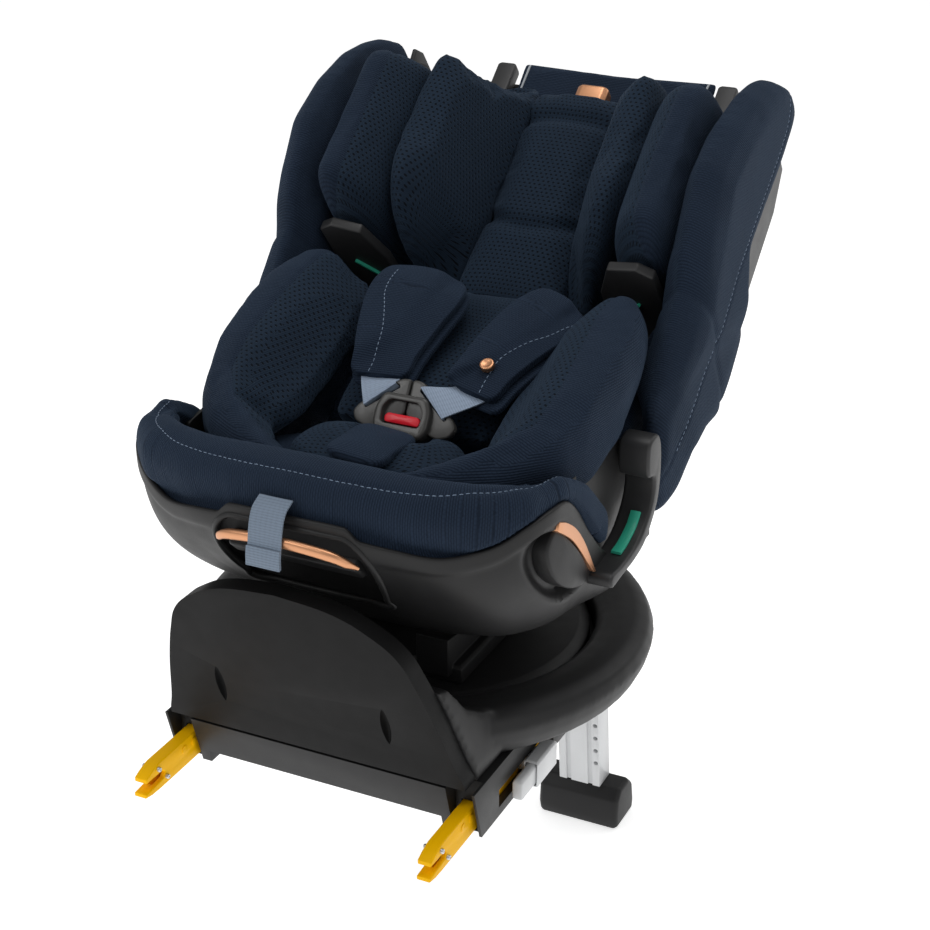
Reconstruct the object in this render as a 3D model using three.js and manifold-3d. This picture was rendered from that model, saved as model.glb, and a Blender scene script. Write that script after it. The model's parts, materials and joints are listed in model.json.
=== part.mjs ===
// Convertible child car seat on a rotating base with a support leg.
// Millimetres. X across the seat, -Y towards the anchor connectors, +Y towards the support leg, +Z up.
// The origin is the centre of the flat pad under the connector end of the base.
import * as THREE from 'three';
import { mergeVertices } from 'three/addons/utils/BufferGeometryUtils.js';
import Module from 'manifold-3d';

const wasm = await Module();
wasm.setup();

// ---- driving dimensions -------------------------------------------------------------------
const GAP = 0.4; // clearance between neighbouring pieces
const AXIS_Y = 165; // turntable axis
const BASE_HALF = 155; // half width of the base
const TRAY_TOP = 51.5;
const FLOOR_TOP = 66; // floor of the turntable well
const RING_R = 219;
const RING_TOP = 97;
const WELL_R = 163;
const CHANNEL_HALF = 62; // channel the folded leg lies in
const CHANNEL_TOP = 58;
const TAIL_END = 572;
const LEAN = 0.30; // the rebound panel leans outwards by this much per unit of height
const PANEL_THICK = 20;
const GUARD_R = 178; // the turning seat stays inside this radius at z = 0, more by LEAN above
const CONNECTOR_X = 140;
const CONNECTOR_HALF = 6.5;
const HINGE = [548, 28]; // support leg hinge (y, z)
const LEG_TILT = THREE.MathUtils.degToRad(6.7);
const LEG_HALF = 26.4;
const SOLE_Z = -413;
const RECLINE = [120, 520]; // recline centre (y, z)
const RAIL_R = 394; // radius of the recline rails
const BACK_O = [200, 127]; // origin of the backrest frame (y, z)
const BACK_ANGLE = THREE.MathUtils.degToRad(40);

// ---- solids -------------------------------------------------------------------------------
function solid(geometry) {
  const g = geometry.index ? geometry.toNonIndexed() : geometry;
  g.deleteAttribute('normal');
  g.deleteAttribute('uv');
  const m = mergeVertices(g, 1e-4);
  const vertProperties = Float32Array.from(m.attributes.position.array);
  const triVerts = Uint32Array.from(m.index.array);
  return new wasm.Manifold(new wasm.Mesh({ numProp: 3, vertProperties, triVerts }));
}

function fromRings(rings, closed = false) {
  const n = rings[0].length;
  const pos = rings.flat(2);
  const idx = [];
  const last = closed ? rings.length : rings.length - 1;
  for (let k = 0; k < last; k++) {
    const a = k * n;
    const b = ((k + 1) % rings.length) * n;
    for (let i = 0; i < n; i++) {
      const j = (i + 1) % n;
      idx.push(a + i, a + j, b + j, a + i, b + j, b + i);
    }
  }
  if (!closed) {
    for (const [k, flip] of [[0, true], [rings.length - 1, false]]) {
      const c = [0, 1, 2].map((d) => rings[k].reduce((s, p) => s + p[d], 0) / n);
      const ci = pos.length / 3;
      pos.push(...c);
      for (let i = 0; i < n; i++) {
        const j = (i + 1) % n;
        idx.push(...(flip ? [ci, k * n + j, k * n + i] : [ci, k * n + i, k * n + j]));
      }
    }
  }
  let volume = 0;
  const v = (i) => new THREE.Vector3(pos[3 * i], pos[3 * i + 1], pos[3 * i + 2]);
  for (let t = 0; t < idx.length; t += 3) {
    volume += v(idx[t]).dot(v(idx[t + 1]).cross(v(idx[t + 2])));
  }
  if (volume < 0) for (let t = 0; t < idx.length; t += 3) [idx[t], idx[t + 1]] = [idx[t + 1], idx[t]];
  const g = new THREE.BufferGeometry();
  g.setAttribute('position', new THREE.Float32BufferAttribute(pos, 3));
  g.setIndex(idx);
  return solid(g);
}

// prism of a closed outline [[a, b], ...]; map places (a, b, h) in space
function prism(outline, h0, h1, map, chamfer = 0) {
  const c = chamfer;
  const area = THREE.ShapeUtils.area(outline.map((p) => new THREE.Vector2(...p)));
  const pts = area < 0 ? [...outline].reverse() : outline;
  const shape = new THREE.Shape(pts.map((p) => new THREE.Vector2(...p)));
  const g = new THREE.ExtrudeGeometry(shape, {
    depth: h1 - h0 - 2 * c, steps: 1, bevelEnabled: c > 0,
    bevelThickness: c, bevelSize: c, bevelOffset: -c, bevelSegments: 1,
  });
  const p = g.attributes.position;
  for (let i = 0; i < p.count; i++) p.setXYZ(i, ...map(p.getX(i), p.getY(i), p.getZ(i) + h0 + c));
  return orient(g);
}

function orient(g) {
  const p = g.attributes.position;
  const v = (i) => new THREE.Vector3().fromBufferAttribute(p, i);
  let volume = 0;
  for (let i = 0; i < p.count; i += 3) volume += v(i).dot(v(i + 1).cross(v(i + 2)));
  if (volume < 0) {
    for (let i = 0; i < p.count; i += 3) {
      const a = v(i);
      const b = v(i + 1);
      p.setXYZ(i, b.x, b.y, b.z);
      p.setXYZ(i + 1, a.x, a.y, a.z);
    }
  }
  return solid(g);
}

const alongX = (o, x0, x1, c) => prism(o, x0, x1, (a, b, h) => [h, a, b], c);
const alongY = (o, y0, y1, c) => prism(o, y0, y1, (a, b, h) => [a, h, b], c);
const alongZ = (o, z0, z1, c) => prism(o, z0, z1, (a, b, h) => [a, b, h], c);
const rect = (a0, a1, b0, b1) => [[a0, b0], [a1, b0], [a1, b1], [a0, b1]];
const box = (x0, x1, y0, y1, z0, z1, c) => alongZ(rect(x0, x1, y0, y1), z0, z1, c);
const circle = (cx, cy, r, n = 24) => Array.from({ length: n }, (_, i) => {
  const t = (2 * Math.PI * i) / n;
  return [cx + r * Math.cos(t), cy + r * Math.sin(t)];
});
const superEllipse = (cx, cy, a, b, power, n = 24) => circle(0, 0, 1, n).map(([c, s]) => [
  cx + a * Math.sign(c) * Math.abs(c) ** (2 / power),
  cy + b * Math.sign(s) * Math.abs(s) ** (2 / power),
]);
const mirrorPair = (half) => [...half, ...half.map(([a, b]) => [-a, b]).reverse()];

function lathe(profile, cx, cy, n = 64) {
  const pts = [...profile, profile[0]].map(([r, z]) => new THREE.Vector2(r, z));
  const g = new THREE.LatheGeometry(pts, n).toNonIndexed();
  const p = g.attributes.position;
  for (let i = 0; i < p.count; i++) p.setXYZ(i, cx + p.getX(i), cy - p.getZ(i), p.getY(i));
  return orient(g);
}

function flipX(s) {
  const m = s.getMesh();
  const v = Float32Array.from(m.vertProperties);
  const t = Uint32Array.from(m.triVerts);
  for (let i = 0; i < v.length; i += 3) v[i] = -v[i];
  for (let i = 0; i < t.length; i += 3) [t[i], t[i + 1]] = [t[i + 1], t[i]];
  return new wasm.Manifold(new wasm.Mesh({ numProp: 3, vertProperties: v, triVerts: t }));
}

// backrest frame: u up the back, w out of it towards the child
const [CB, SB] = [Math.cos(BACK_ANGLE), Math.sin(BACK_ANGLE)];
const back = (x, u, w) => [x, BACK_O[0] + u * CB - w * SB, BACK_O[1] + u * SB + w * CB];
const onBack = (o, u0, u1, c) => prism(o, u0, u1, (a, b, h) => back(a, h, b), c);
// loft up the back: stations [u, outline in (x, w)]
const loftBack = (stations) => fromRings(stations.map(([u, o]) => o.map(([x, w]) => back(x, u, w))));
// soft loft: outline grows from the ends to full size, so the ends are rounded
function softBack(outline, u0, u1, round, taper = 0.8) {
  const c = [0, 1].map((d) => outline.reduce((s, p) => s + p[d], 0) / outline.length);
  const at = (k) => outline.map((p) => p.map((v, d) => c[d] + (v - c[d]) * k));
  return loftBack([[u0, at(taper)], [u0 + round, outline], [u1 - round, outline], [u1, at(taper)]]);
}
// leg frame: t down the leg, f towards its front face
const [CL, SL] = [Math.cos(LEG_TILT), Math.sin(LEG_TILT)];
const leg = (x, t, f) => [x, HINGE[0] + t * SL - f * CL, HINGE[1] - t * CL - f * SL];
const onLeg = (o, t0, t1, c) => prism(o, t0, t1, (a, b, h) => leg(a, h, b), c);
// loft along a chain of oval stations {p, a, b, side, up}
function ovalChain(stations, n = 14, power = 2.4) {
  return fromRings(stations.map(({ p, a, b, side, up }) => superEllipse(0, 0, a, b, power, n)
    .map(([s, t]) => [0, 1, 2].map((d) => p[d] + s * side[d] + t * up[d]))));
}

const group = new THREE.Group();
const FINISH = {
  plastic: [0x33363a, 0.5, 0], darkPlastic: [0x1d1f22, 0.55, 0], greyPlastic: [0x55585c, 0.45, 0],
  lightPlastic: [0xc9ccce, 0.4, 0], yellow: [0xf2b705, 0.4, 0], green: [0x3a9a7a, 0.4, 0],
  steel: [0x9a9da1, 0.3, 1], copper: [0xc98a63, 0.3, 1], fabric: [0x1a2434, 0.9, 0],
  mesh: [0x202d3f, 0.9, 0], webbing: [0x8397b4, 0.8, 0], red: [0xc4242c, 0.4, 0],
};
function put(name, s, finish) {
  const m = s.getMesh();
  const g = new THREE.BufferGeometry();
  g.setAttribute('position', new THREE.BufferAttribute(Float32Array.from(m.vertProperties), 3));
  g.setIndex(new THREE.BufferAttribute(Uint32Array.from(m.triVerts), 1));
  g.computeVertexNormals();
  const [color, roughness, metalness] = FINISH[finish];
  const mesh = new THREE.Mesh(g, new THREE.MeshStandardMaterial({ color, roughness, metalness }));
  mesh.name = name;
  group.add(mesh);
}
function putPair(name, s, finish, cut) {
  put(`${name}_right`, cut ? s.subtract(cut) : s, finish);
  put(`${name}_left`, cut ? flipX(s).subtract(cut) : flipX(s), finish);
}

// ---- base ---------------------------------------------------------------------------------
const isoX = [CONNECTOR_X - CONNECTOR_HALF, CONNECTOR_X + CONNECTOR_HALF];
const traySide = [[BASE_HALF, -36], [BASE_HALF, 250], [132, 330], [82, 400], [78, TAIL_END]];
let tray = alongZ(mirrorPair(traySide), 0, TRAY_TOP);
tray = tray.add(alongZ(circle(0, AXIS_Y, WELL_R - 1, 64), 40, FLOOR_TOP));
tray = tray.add(alongX([[-36, 0], [-15.5, 0], [-15.5, TRAY_TOP], [-36 - LEAN * TRAY_TOP, TRAY_TOP]],
  -BASE_HALF, BASE_HALF));
tray = tray.add(box(-78, 78, RING_R + AXIS_Y + 1, TAIL_END, 40, 64));
tray = tray.subtract(alongX([[-60, -1], [-14, -1], [-41, 14], [-60, 14]], -118, 118));
tray = tray.subtract(box(-CHANNEL_HALF, CHANNEL_HALF, 50, TAIL_END + 9, -9, CHANNEL_TOP));
tray = tray.subtract(alongX(circle(...HINGE, 6.4, 16), -90, 90));
const arm = (s) => {
  const pocket = box(isoX[0] - 6, isoX[1] + 6, -99, -30, -9, TRAY_TOP + 9);
  const tunnel = box(isoX[0] - 1, isoX[1] + 1, -70, 232, 1.2, 30);
  const slot = box(isoX[1], BASE_HALF + 9, -1, 119, 9, 27);
  return [pocket, tunnel, slot].map((b) => (s > 0 ? b : flipX(b)));
};
for (const s of [1, -1]) for (const b of arm(s)) tray = tray.subtract(b);
put('base_tray', tray, 'plastic');

const panelHalf = [[147, 54.5], [145, 62], [140, 81], [131, 121], [123, 150], [117, 168], [110, 186],
  [99, 201], [83, 213],
  [65, 223], [40, 230], [0, 234]];
const panelOutline = mirrorPair(panelHalf.slice(0, 11));
const leanY = (x, z, h) => [x, -36 - LEAN * z + h, z];
let panel = prism(panelOutline, 0, PANEL_THICK, leanY, 3);
for (const s of [1, -1]) panel = panel.subtract(prism(rect(s * 81 - 3, s * 81 + 3, 90, 130), -5, 9, leanY));
put('rebound_panel', panel, 'plastic');

const ringProfile = [[WELL_R, TRAY_TOP + GAP], [209, TRAY_TOP + GAP], [216, 66], [RING_R, 78], [214, 90],
  [203, 96],
  [188, RING_TOP], [172, 94], [WELL_R, 86]];
let ring = lathe(ringProfile, 0, AXIS_Y, 56);
const swoop = [[-60, TRAY_TOP + GAP], [40, TRAY_TOP + GAP], [60, 88], [30, 92], [0, 101], [-25, 117],
  [-46, 146], [-62, 150]];
const shoulderPlan = mirrorPair([[147, -80], [148, -40], [150, 10], [140, 60]]);
const behindPanel = alongY(mirrorPair([[152, 40], ...panelHalf.slice(0,
  11).map(([x, z]) => [x + 4, z + 3])]), -90, 90);
ring = ring.add(alongX(swoop, -190, 190).intersect(alongZ(shoulderPlan, 40, 160)).intersect(behindPanel)
  .subtract(alongZ(circle(0, AXIS_Y, 200, 64), 40, 200)));
ring = ring.subtract(prism(rect(-200, 200, 0, 300), -80, PANEL_THICK + GAP, leanY));
ring = ring.subtract(alongZ(circle(0, AXIS_Y, WELL_R, 64), 40, 200));
put('base_ring', ring, 'plastic');
put('leg_hinge_pin', alongX(circle(...HINGE, 6, 16), -76, 76), 'steel');

// ---- support leg --------------------------------------------------------------------------
let housing = onLeg(rect(-33, 33, -22, 22), -22, 270, 4);
housing = housing.subtract(onLeg(rect(-LEG_HALF - 0.6, LEG_HALF + 0.6, -16.6, 16.6), 12, 320));
housing = housing.subtract(prism(circle(0, 0, 6.4, 16), -40, 40, (a, b, h) => leg(h, a, b)));
housing = housing.subtract(prism(rect(-11, 11, 236, 258), 10, 30, (a, b, h) => leg(a, b, h)));
put('leg_housing', housing, 'darkPlastic');
const buttonMap = (a, b, h) => leg(a, b, h);
put('leg_release_button', prism(rect(-10.4, 10.4, 236.6, 257.4), 19, 25, buttonMap, 1.5), 'green');
let inner = onLeg(rect(-LEG_HALF, LEG_HALF, -16, 16), 100, 398);
for (const s of [1, -1]) inner = inner.subtract(onLeg(rect(s * 14 - 3, s * 14 + 3, 13.5, 20), 90, 420));
for (let i = 0; i < 9; i++) {
  inner = inner.subtract(prism(circle(22, 200 + 19 * i, 3, 10), -20, 20, (a, b, h) => leg(a, b, h)));
}
const footSide = [[575, SOLE_Z], [629, SOLE_Z], [631, -398], [626, -372], [612, -359], [584, -359],
  [573, -372], [571, -398]];
put('leg_inner_tube', inner.subtract(box(-90, 90, 500, 700, -500, -358.6)), 'lightPlastic');
const foot = alongX(footSide, -52, 52, 4);
put('leg_foot', foot, 'darkPlastic');

// ---- anchor connectors --------------------------------------------------------------------
const nose = [[-96, 29], [-108, 26], [-116, 22.5], [-116, 18.7], [-90, 17.8], [-87, 14], [-90, 10.2],
  [-118, 8],
  [-118, 4.5], [-108, 2.5], [-96, 2]];
let connector = alongX([[190, 2], [190, 29], ...nose], isoX[0], isoX[1], 0.8);
connector = connector.subtract(box(CONNECTOR_X - 2.2, CONNECTOR_X + 2.2, -103, -62, 4.5, 26.5));
connector = connector.subtract(box(CONNECTOR_X - 2.2, CONNECTOR_X + 2.2, -130, -90, 9, 17));
connector = connector.subtract(box(isoX[1] - 2, isoX[1] + 2, 58, 82, 6, 25));
for (const y of [-56, -40]) connector = connector.add(alongX(circle(y, 20, 4, 10), isoX[0] - 0.7,
  isoX[1] + 0.7));
putPair('connector', connector, 'yellow');
const latchSide = [[-66, 25], [-97, 25.5], [-100, 21], [-96, 18.3], [-91, 19.8], [-84, 18.2], [-70, 17.6],
  [-65, 20]];
putPair('connector_latch', alongX(latchSide, CONNECTOR_X - 1.8, CONNECTOR_X + 1.8), 'steel');
let block = box(BASE_HALF + 0.6, 170, 49, 92, 2, 29, 2);
block = block.add(box(isoX[1] - 1.7, BASE_HALF + 2, 58.5, 81.5, 11, 24.5));
block = block.subtract(box(157.3, 168.3, 40, 67, 4, 27));
putPair('adjuster_block', block, 'lightPlastic');
putPair('adjuster_button', box(157.8, 167.8, 20, 58, 4.6, 26.4, 2.5), 'lightPlastic');

// ---- turntable and carriage ---------------------------------------------------------------
const disc = [[20, FLOOR_TOP + 0.5], [158, FLOOR_TOP + 0.5], [158, 78], [148, 84], [20, 84]];
put('turntable_disc', lathe(disc, 0, AXIS_Y, 64), 'darkPlastic');
let carriage = box(-92, 92, 55, 262, 84 + GAP, 104, 3);
carriage = carriage.add(box(-82, -50, 48, 262, 95, 150)).add(box(50, 82, 48, 262, 95, 150));
carriage = carriage.subtract(alongX(circle(...RECLINE, RAIL_R, 96), -100, 100));
put('recline_carriage', carriage, 'darkPlastic');

// ---- seat shell ---------------------------------------------------------------------------
// rim and floor outlines, right half from the front centre to the rear centre
const rimHalf = [[0, -86, 291], [45, -85, 291], [90, -77, 290], [130, -61, 285], [165, -40, 286],
  [187, -18, 291],
  [195, 8, 306], [196, 36, 302], [196, 62, 280], [196, 92, 245], [196, 124, 212], [194, 165, 187],
  [184, 215, 180], [166, 262, 184], [120, 288, 190], [0, 296, 192]];
const floorHalf = [[0, 62, 128], [30, 62, 128], [60, 65, 128], [88, 72, 128], [110, 84, 128],
  [126, 98, 128],
  [138, 114, 128], [145, 132, 128], [148, 148, 128], [150, 163, 128], [150, 178, 128], [148, 194, 128],
  [142, 208, 128], [130, 222, 128], [84, 236, 128], [0, 242, 128]];
const wrap = (half) => [...half, ...half.slice(1, -1).map(([x, y, z]) => [-x, y, z]).reverse()];
function bucket(grow, lift, top) {
  const [rim, floor] = [wrap(rimHalf), wrap(floorHalf)];
  const ease = [[0, 0], [0.12, 0.2], [0.3, 0.45], [0.55, 0.72], [0.8, 0.91], [1, 1]];
  const rings = ease.map(([h, r]) => rim.map((p, i) => {
    const q = floor[i];
    const x = q[0] + (p[0] - q[0]) * r;
    const y = q[1] + (p[1] - q[1]) * r;
    const len = Math.hypot(x, y - 130) || 1;
    return [x + (grow * x) / len, y + (grow * (y - 130)) / len, q[2] + (p[2] - q[2]) * h + lift];
  }));
  if (top > 0) rings.push(rings.at(-1).map(([x, y, z]) => [x, y, z + top]));
  return fromRings(rings);
}
const railCylinder = alongX(circle(...RECLINE, RAIL_R - 1, 120), -230, 230);
const shellCavity = bucket(-5, 6, 60);
let shell = bucket(0, 0, 0).intersect(railCylinder).subtract(shellCavity);
shell = shell.subtract(alongY(superEllipse(0, 241, 77, 43, 3.4, 28), -120, 20));
put('seat_shell', shell, 'plastic');

const barPath = [[-58, -86, 274], [-52, -93, 274.5], [-25, -97, 274.5], [25, -97, 274.5],
  [52, -93, 274.5], [58, -86, 274]];
put('front_handle_bar', ovalChain(barPath.map((p) => ({ p, a: 3.5, b: 4.8, side: [0, 1, 0],
  up: [0, 0, 1] })), 10), 'copper');
put('front_lever', alongX([[-70, 264], [-78, 256], [-64, 243], [-44, 240], [-44, 260], [-56, 268]], -62,
  62, 3), 'darkPlastic');
const crescentOuter = [[0, 303], [21, 294], [44, 276], [70, 250], [95, 215], [87, 211], [65, 240],
  [40, 264], [18, 278], [0, 287]];
putPair('side_crescent', alongX(crescentOuter, 196.6, 200.5, 1), 'copper');
putPair('side_button', alongX(circle(37, 240, 17.5, 24), 176, 199, 2), 'darkPlastic', bucket(4.2, 0, 0));
// hooks that guide the vehicle belt past the shell
const hookSide = [[104, 190], [120, 193], [150, 195], [177, 203], [202, 228], [209, 256], [207, 282],
  [198, 298], [180, 296], [176, 288], [178, 264], [194, 258], [190, 235], [170, 215], [148, 207],
  [120, 204], [104, 202]];
const inShell = bucket(1, 0.4, 56);
putPair('side_arm', alongX(hookSide, 186, 217, 2).subtract(inShell), 'darkPlastic');

// ---- backrest -----------------------------------------------------------------------------
// the space the leaning rebound panel needs when the seat turns: outside this cone, below its top
const guard = fromRings([-2, 245].map((z) => circle(0, AXIS_Y, GUARD_R + LEAN * z, 64)
  .map(([x, y]) => [x, y, z])));
const sweep = box(-260, 260, 100, 600, 0, 243).subtract(guard);
const traySection = mirrorPair([[180, -8], [184, -30], [170, -44], [60, -47]]);
let tub = onBack(traySection, 150, 560, 2);
const pocket = mirrorPair([[174, 9], [176, -28], [160, -38], [60, -41]]);
tub = tub.subtract(onBack(pocket, 156, 554)).subtract(sweep);
put('back_shell', tub, 'plastic');
const plate = [[150, 40], [185, 66], [452, 66], [474, 98], [508, 106], [516, 90], [514, -40], [470, -58],
  [370, -60], [290, -46], [150, -46]];
putPair('side_plate', prism(plate, 185, 190, (a, b, h) => back(h, a, b), 1), 'greyPlastic', sweep);
put('top_cover', onBack(mirrorPair([[112, 3], [112, 13]]), 250, 577, 3), 'fabric');
putPair('back_rail', onBack(rect(115, 136, 3, 20), 300, 568, 3), 'greyPlastic');
// the ears and the cloth behind them: [u, crest height, inner face x, outer face x, back edge]
const earStations = [[76, 66, 191.5, 203, 26], [90, 84, 191.5, 207, 16], [104, 100, 191.5, 210, 10],
  [116, 120, 191.5, 212, 8], [132, 144, 191.5, 214, 8], [154, 152, 181, 219, 14], [171, 155, 181, 220, 10],
  [200, 160, 181, 221, -12], [240, 170, 181, 221, -18], [262, 192, 182, 221, -18], [290, 207, 184, 221, -16],
  [314, 213, 185, 221, 24], [334, 218, 186, 221, 60], [343, 218, 186, 221, 66], [392, 209, 186, 221, 66],
  [440, 188, 192, 221, 66], [470, 166, 193, 220, 66], [490, 146, 193, 219, 66], [508, 118, 194, 216, 66]];
function earOutline(crest, inner, outer, low) {
  const h = crest - low;
  const front = [[200, low], [outer - 4, low + 0.06 * h], [outer, low + 0.24 * h], [outer, crest - 0.2 * h],
    [outer - 6, crest - 0.06 * h], [206, crest], [199, crest - 1], [195, crest - 0.06 * h]];
  const [bend, foot] = crest > 130 ? [80, 67.5] : [low + 0.4 * h, low + 0.2 * h];
  return [...front, [inner, crest - 0.2 * h], [inner + 1, bend], [191.5, foot], [191.5, low]];
}
const ears = earStations.map(([u, ...section]) => [u, earOutline(...section)]);
putPair('side_wing', loftBack(ears), 'fabric', sweep);

// ---- headrest, slides up the back ---------------------------------------------------------
const frame = mirrorPair([[60, 26], [165, 30], [172, 40], [172, 52], [160, 52], [60, 40]]);
const headPad = mirrorPair([[50, 41], [52, 60], [47, 78], [20, 84]]);
put('headrest_centre', softBack(headPad, 240, 494, 18, 0.85), 'mesh');
const petal = [[54, 52], [74, 54], [96, 110], [106, 150], [106, 180], [96, 193], [82, 188], [62, 130]];
putPair('headrest_petal', softBack(petal, 258, 452, 24, 0.8), 'mesh');
const outer = [[90, 56], [150, 56], [168, 66], [174, 100], [181, 150], [181, 190], [174, 208], [154, 217],
  [130, 214],
  [113, 200], [108, 170], [108, 148], [97, 108]];
putPair('headrest_wing', softBack(outer, 257.5, 450, 26, 0.82), 'mesh');
const skirt = onBack([[110, 45], [166, 45], [174, 100], [173, 160], [158, 170], [128, 164], [112, 120]],
  246, 256.5);
put('headrest_frame', onBack(frame, 240, 470).add(skirt).add(flipX(skirt)), 'greyPlastic');
put('headrest_handle', onBack(mirrorPair([[17, 44], [17, 58], [12, 62]]), 500, 520, 2), 'copper');

// ---- seat covers and infant insert --------------------------------------------------------
const oval = (p, a, b, yaw = 0, pitch = 0) => {
  const [cy, sy, cp, sp] = [Math.cos(yaw), Math.sin(yaw), Math.cos(pitch), Math.sin(pitch)];
  return { p, a, b, side: [cy, sy, 0], up: [-sy * sp, cy * sp, cp] };
};
// front bolster: horseshoe above the shell's rim
const bolsterHalf = [[193, 124, 236, 11, 20, 0], [193, 80, 276, 12, 22, 0], [190, 32, 301, 14, 24, 0.2],
  [177, -4, 300, 21, 25, 0.7], [146, -30, 304, 27, 25, 1.05], [103, -43, 306, 29, 24, 1.3],
  [52, -50, 311, 30, 22, 1.5],
  [0, -52, 313, 30, 22, Math.PI / 2]];
const half = bolsterHalf.map(([x, y, z, a, b, yaw]) => oval([x, y, z], a, b, -yaw));
const otherHalf = [...bolsterHalf].reverse().slice(1).map(([x, y, z, a, b, yaw]) => oval([-x, y, z], a, b,
  yaw + Math.PI));
const sideZone = [[-32, 307], [2, 305], [26, 296], [48, 278], [74, 252], [99, 217], [99, 150], [-32, 150]];
const zone = alongX(sideZone, 196.2, 240);
const cover = ovalChain([...half, ...otherHalf], 14).subtract(bucket(1, 0.5, 0))
  .subtract(zone).subtract(flipX(zone));
put('seat_cover', cover, 'fabric');
const seatPad = [[232, 0.86], [240, 1], [262, 1.06], [270, 0.98]];
put('seat_pad', fromRings(seatPad.map(([z, k]) => superEllipse(0, 62, 142 * k, 86 * k, 2.8, 24)
  .map(([x, y]) => [x, y, z]))), 'fabric');
// side walls of the insert: crest, outward direction, outer reach, inner reach, foot height, underside
const wallStations = [[150, 272, 398, 1, 0, 20, 40, 372, 352], [152, 250, 404, 1, 0, 27, 58, 360, 332],
  [152, 212, 397, 1, 0, 36, 65, 334, 312], [156, 168, 382, 1, 0, 35, 70, 316, 292],
    [158, 118, 362, 1, 0, 30, 72, 301, 276],
  [153, 78, 342, 0.97, -0.25, 27, 66, 298, 274], [130, 44, 328, 0.75, -0.66, 23, 44, 297, 274],
  [100, 20, 321, 0.5, -0.87, 20, 36, 297, 274], [66, 2, 314, 0.33, -0.94, 16, 30, 296, 276],
  [34, -6, 308, 0.2, -0.98, 12, 20, 295, 283]];
const wallRing = ([x, y, z, ox, oy, out, inn, foot, low]) => {
  const rise = z - foot;
  const section = [[out * 0.75, z - 5], [out, z - 0.4 * (z - low)], [out, low + 8], [out * 0.75, low],
    [-inn * 0.5, low],
    [-inn, foot - 9], [-inn, foot], [-inn * 0.62, foot + 0.3 * rise], [-inn * 0.3, foot + 0.76 * rise],
      [-5, z - 1], [out * 0.35, z]];
  return section.map(([d, h]) => [x + ox * d, y + oy * d, h]);
};
const wedge = [[52, 150], [51, 170], [100, 164], [180, 137], [232, 121], [236, 108], [236, 20], [130, 20],
  [86, 70]];
const backWedge = prism(wedge, -84, 84, (a, b, h) => back(h, a, b), 6);
put('insert_back', backWedge, 'mesh');
const backPanel = [[-134, 78], [134, 78], [176, 134], [176, 247], [-176, 247], [-176, 134]];
const backSide = [[140, 196], [206, 184], [222, 192], [284, 203], [378, 281], [316, 355], [239, 313],
  [190, 262], [150, 220]];
const sideSlab = alongX(backSide, 163, 174, 3);
const backSlab = prism(backPanel, 3, 15, (a, b, h) => back(a, b, h), 3);
put('back_cover', backSlab.add(sideSlab).add(flipX(sideSlab)), 'fabric');

// ---- harness ------------------------------------------------------------------------------
// flat piece lying along a line from p to q, its face turned towards n
function plank(p, q, normal, outline, t0, t1, c) {
  const [a, b] = [new THREE.Vector3(...p), new THREE.Vector3(...q)];
  const y = b.clone().sub(a).normalize();
  const x = new THREE.Vector3().crossVectors(y, new THREE.Vector3(...normal)).normalize();
  const z = new THREE.Vector3().crossVectors(x, y);
  return prism(outline, t0, t1, (i, j, h) => [0, 1,
    2].map((d) => p[d] + i * x.getComponent(d) + j * y.getComponent(d)
    + h * z.getComponent(d)), c);
}
const chest = [0, -0.43, 0.9];
const padShape = (grow) => superEllipse(0, 68, 38 + grow, 63 + grow, 4, 20);
const padLines = { right: [[54, 136, 328], [100, 243, 384]], left: [[-30, 138, 330], [-46, 243, 382]] };
for (const [side, line] of Object.entries(padLines)) {
  put(`shoulder_pad_${side}`, plank(...line, chest, padShape(0), 4, 22, 5), 'fabric');
}
put('pad_badge', plank(...padLines.right, chest, circle(4, 36, 6.5, 20), 22.4, 24), 'copper');
const padRoom = Object.values(padLines).map((line) => plank(...line, chest, padShape(1), 3, 80));
let wall = fromRings(wallStations.map(wallRing)).subtract(bucket(1, 0.4, 0));
wall = wall.subtract(box(-85, 85, 20, 135, 260, 297.5));
put('insert_side_right', wall.subtract(padRoom[0]), 'mesh');
put('insert_side_left', flipX(wall).subtract(padRoom[1]), 'mesh');
const bucklePlane = [[8, 118, 282], [8, 142, 321]];
const lean = [0, -0.85, 0.52];
const buckleShape = [[-22, 0], [22, 0], [28, 14], [29, 36], [22, 48], [8, 52], [-8, 52], [-22, 48],
  [-29, 36], [-28, 14]];
let buckle = plank(...bucklePlane, lean, buckleShape, 5, 25, 4);
buckle = buckle.subtract(plank(...bucklePlane, lean, rect(-20, 20, 14, 36), 14, 40));
const insertSeat = [[271, 0.92], [276, 1], [288, 1], [296, 0.88]];
const cushion = fromRings(insertSeat.map(([z, k]) => superEllipse(0, 77, 84 * k, 50 * k, 2.8, 24)
  .map(([x, y]) => [x, y, z])));
put('insert_seat', cushion.subtract(plank(...bucklePlane, lean, rect(-32, 32, -8, 60), -20, 27)), 'mesh');
put('buckle', buckle, 'greyPlastic');
put('buckle_button', plank(...bucklePlane, lean, rect(-19.5, 19.5, 14.5, 27), 18, 25, 2), 'red');
const tongueShape = [[1, 53], [1, 65], [16, 65], [34, 55], [50, 38], [55, 22], [48, 12], [38, 14], [31, 26],
  [31, 42], [24, 52]];
for (const [side, s] of [['right', 1], ['left', -1]]) {
  const shape = tongueShape.map(([a, b]) => [s * a, b]);
  put(`tongue_${side}`, plank(...bucklePlane, lean, shape, 12, 21, 1.5), 'greyPlastic');
  const top = padLines[side][0];
  const foot = [8 + s * 47, 108.5, 313];
  const strap = plank(foot, [top[0], 129.5, 346], lean, rect(-16, 16, 0, 33), 0, 1.6);
  put(`shoulder_strap_${side}`, strap, 'webbing');
}
const crotchShape = superEllipse(0, 35, 29, 34, 4, 20);
put('crotch_pad', plank([2, 22, 297], [6, 94, 297], [0, 0, 1], crotchShape, 1, 15, 4), 'fabric');
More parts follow.
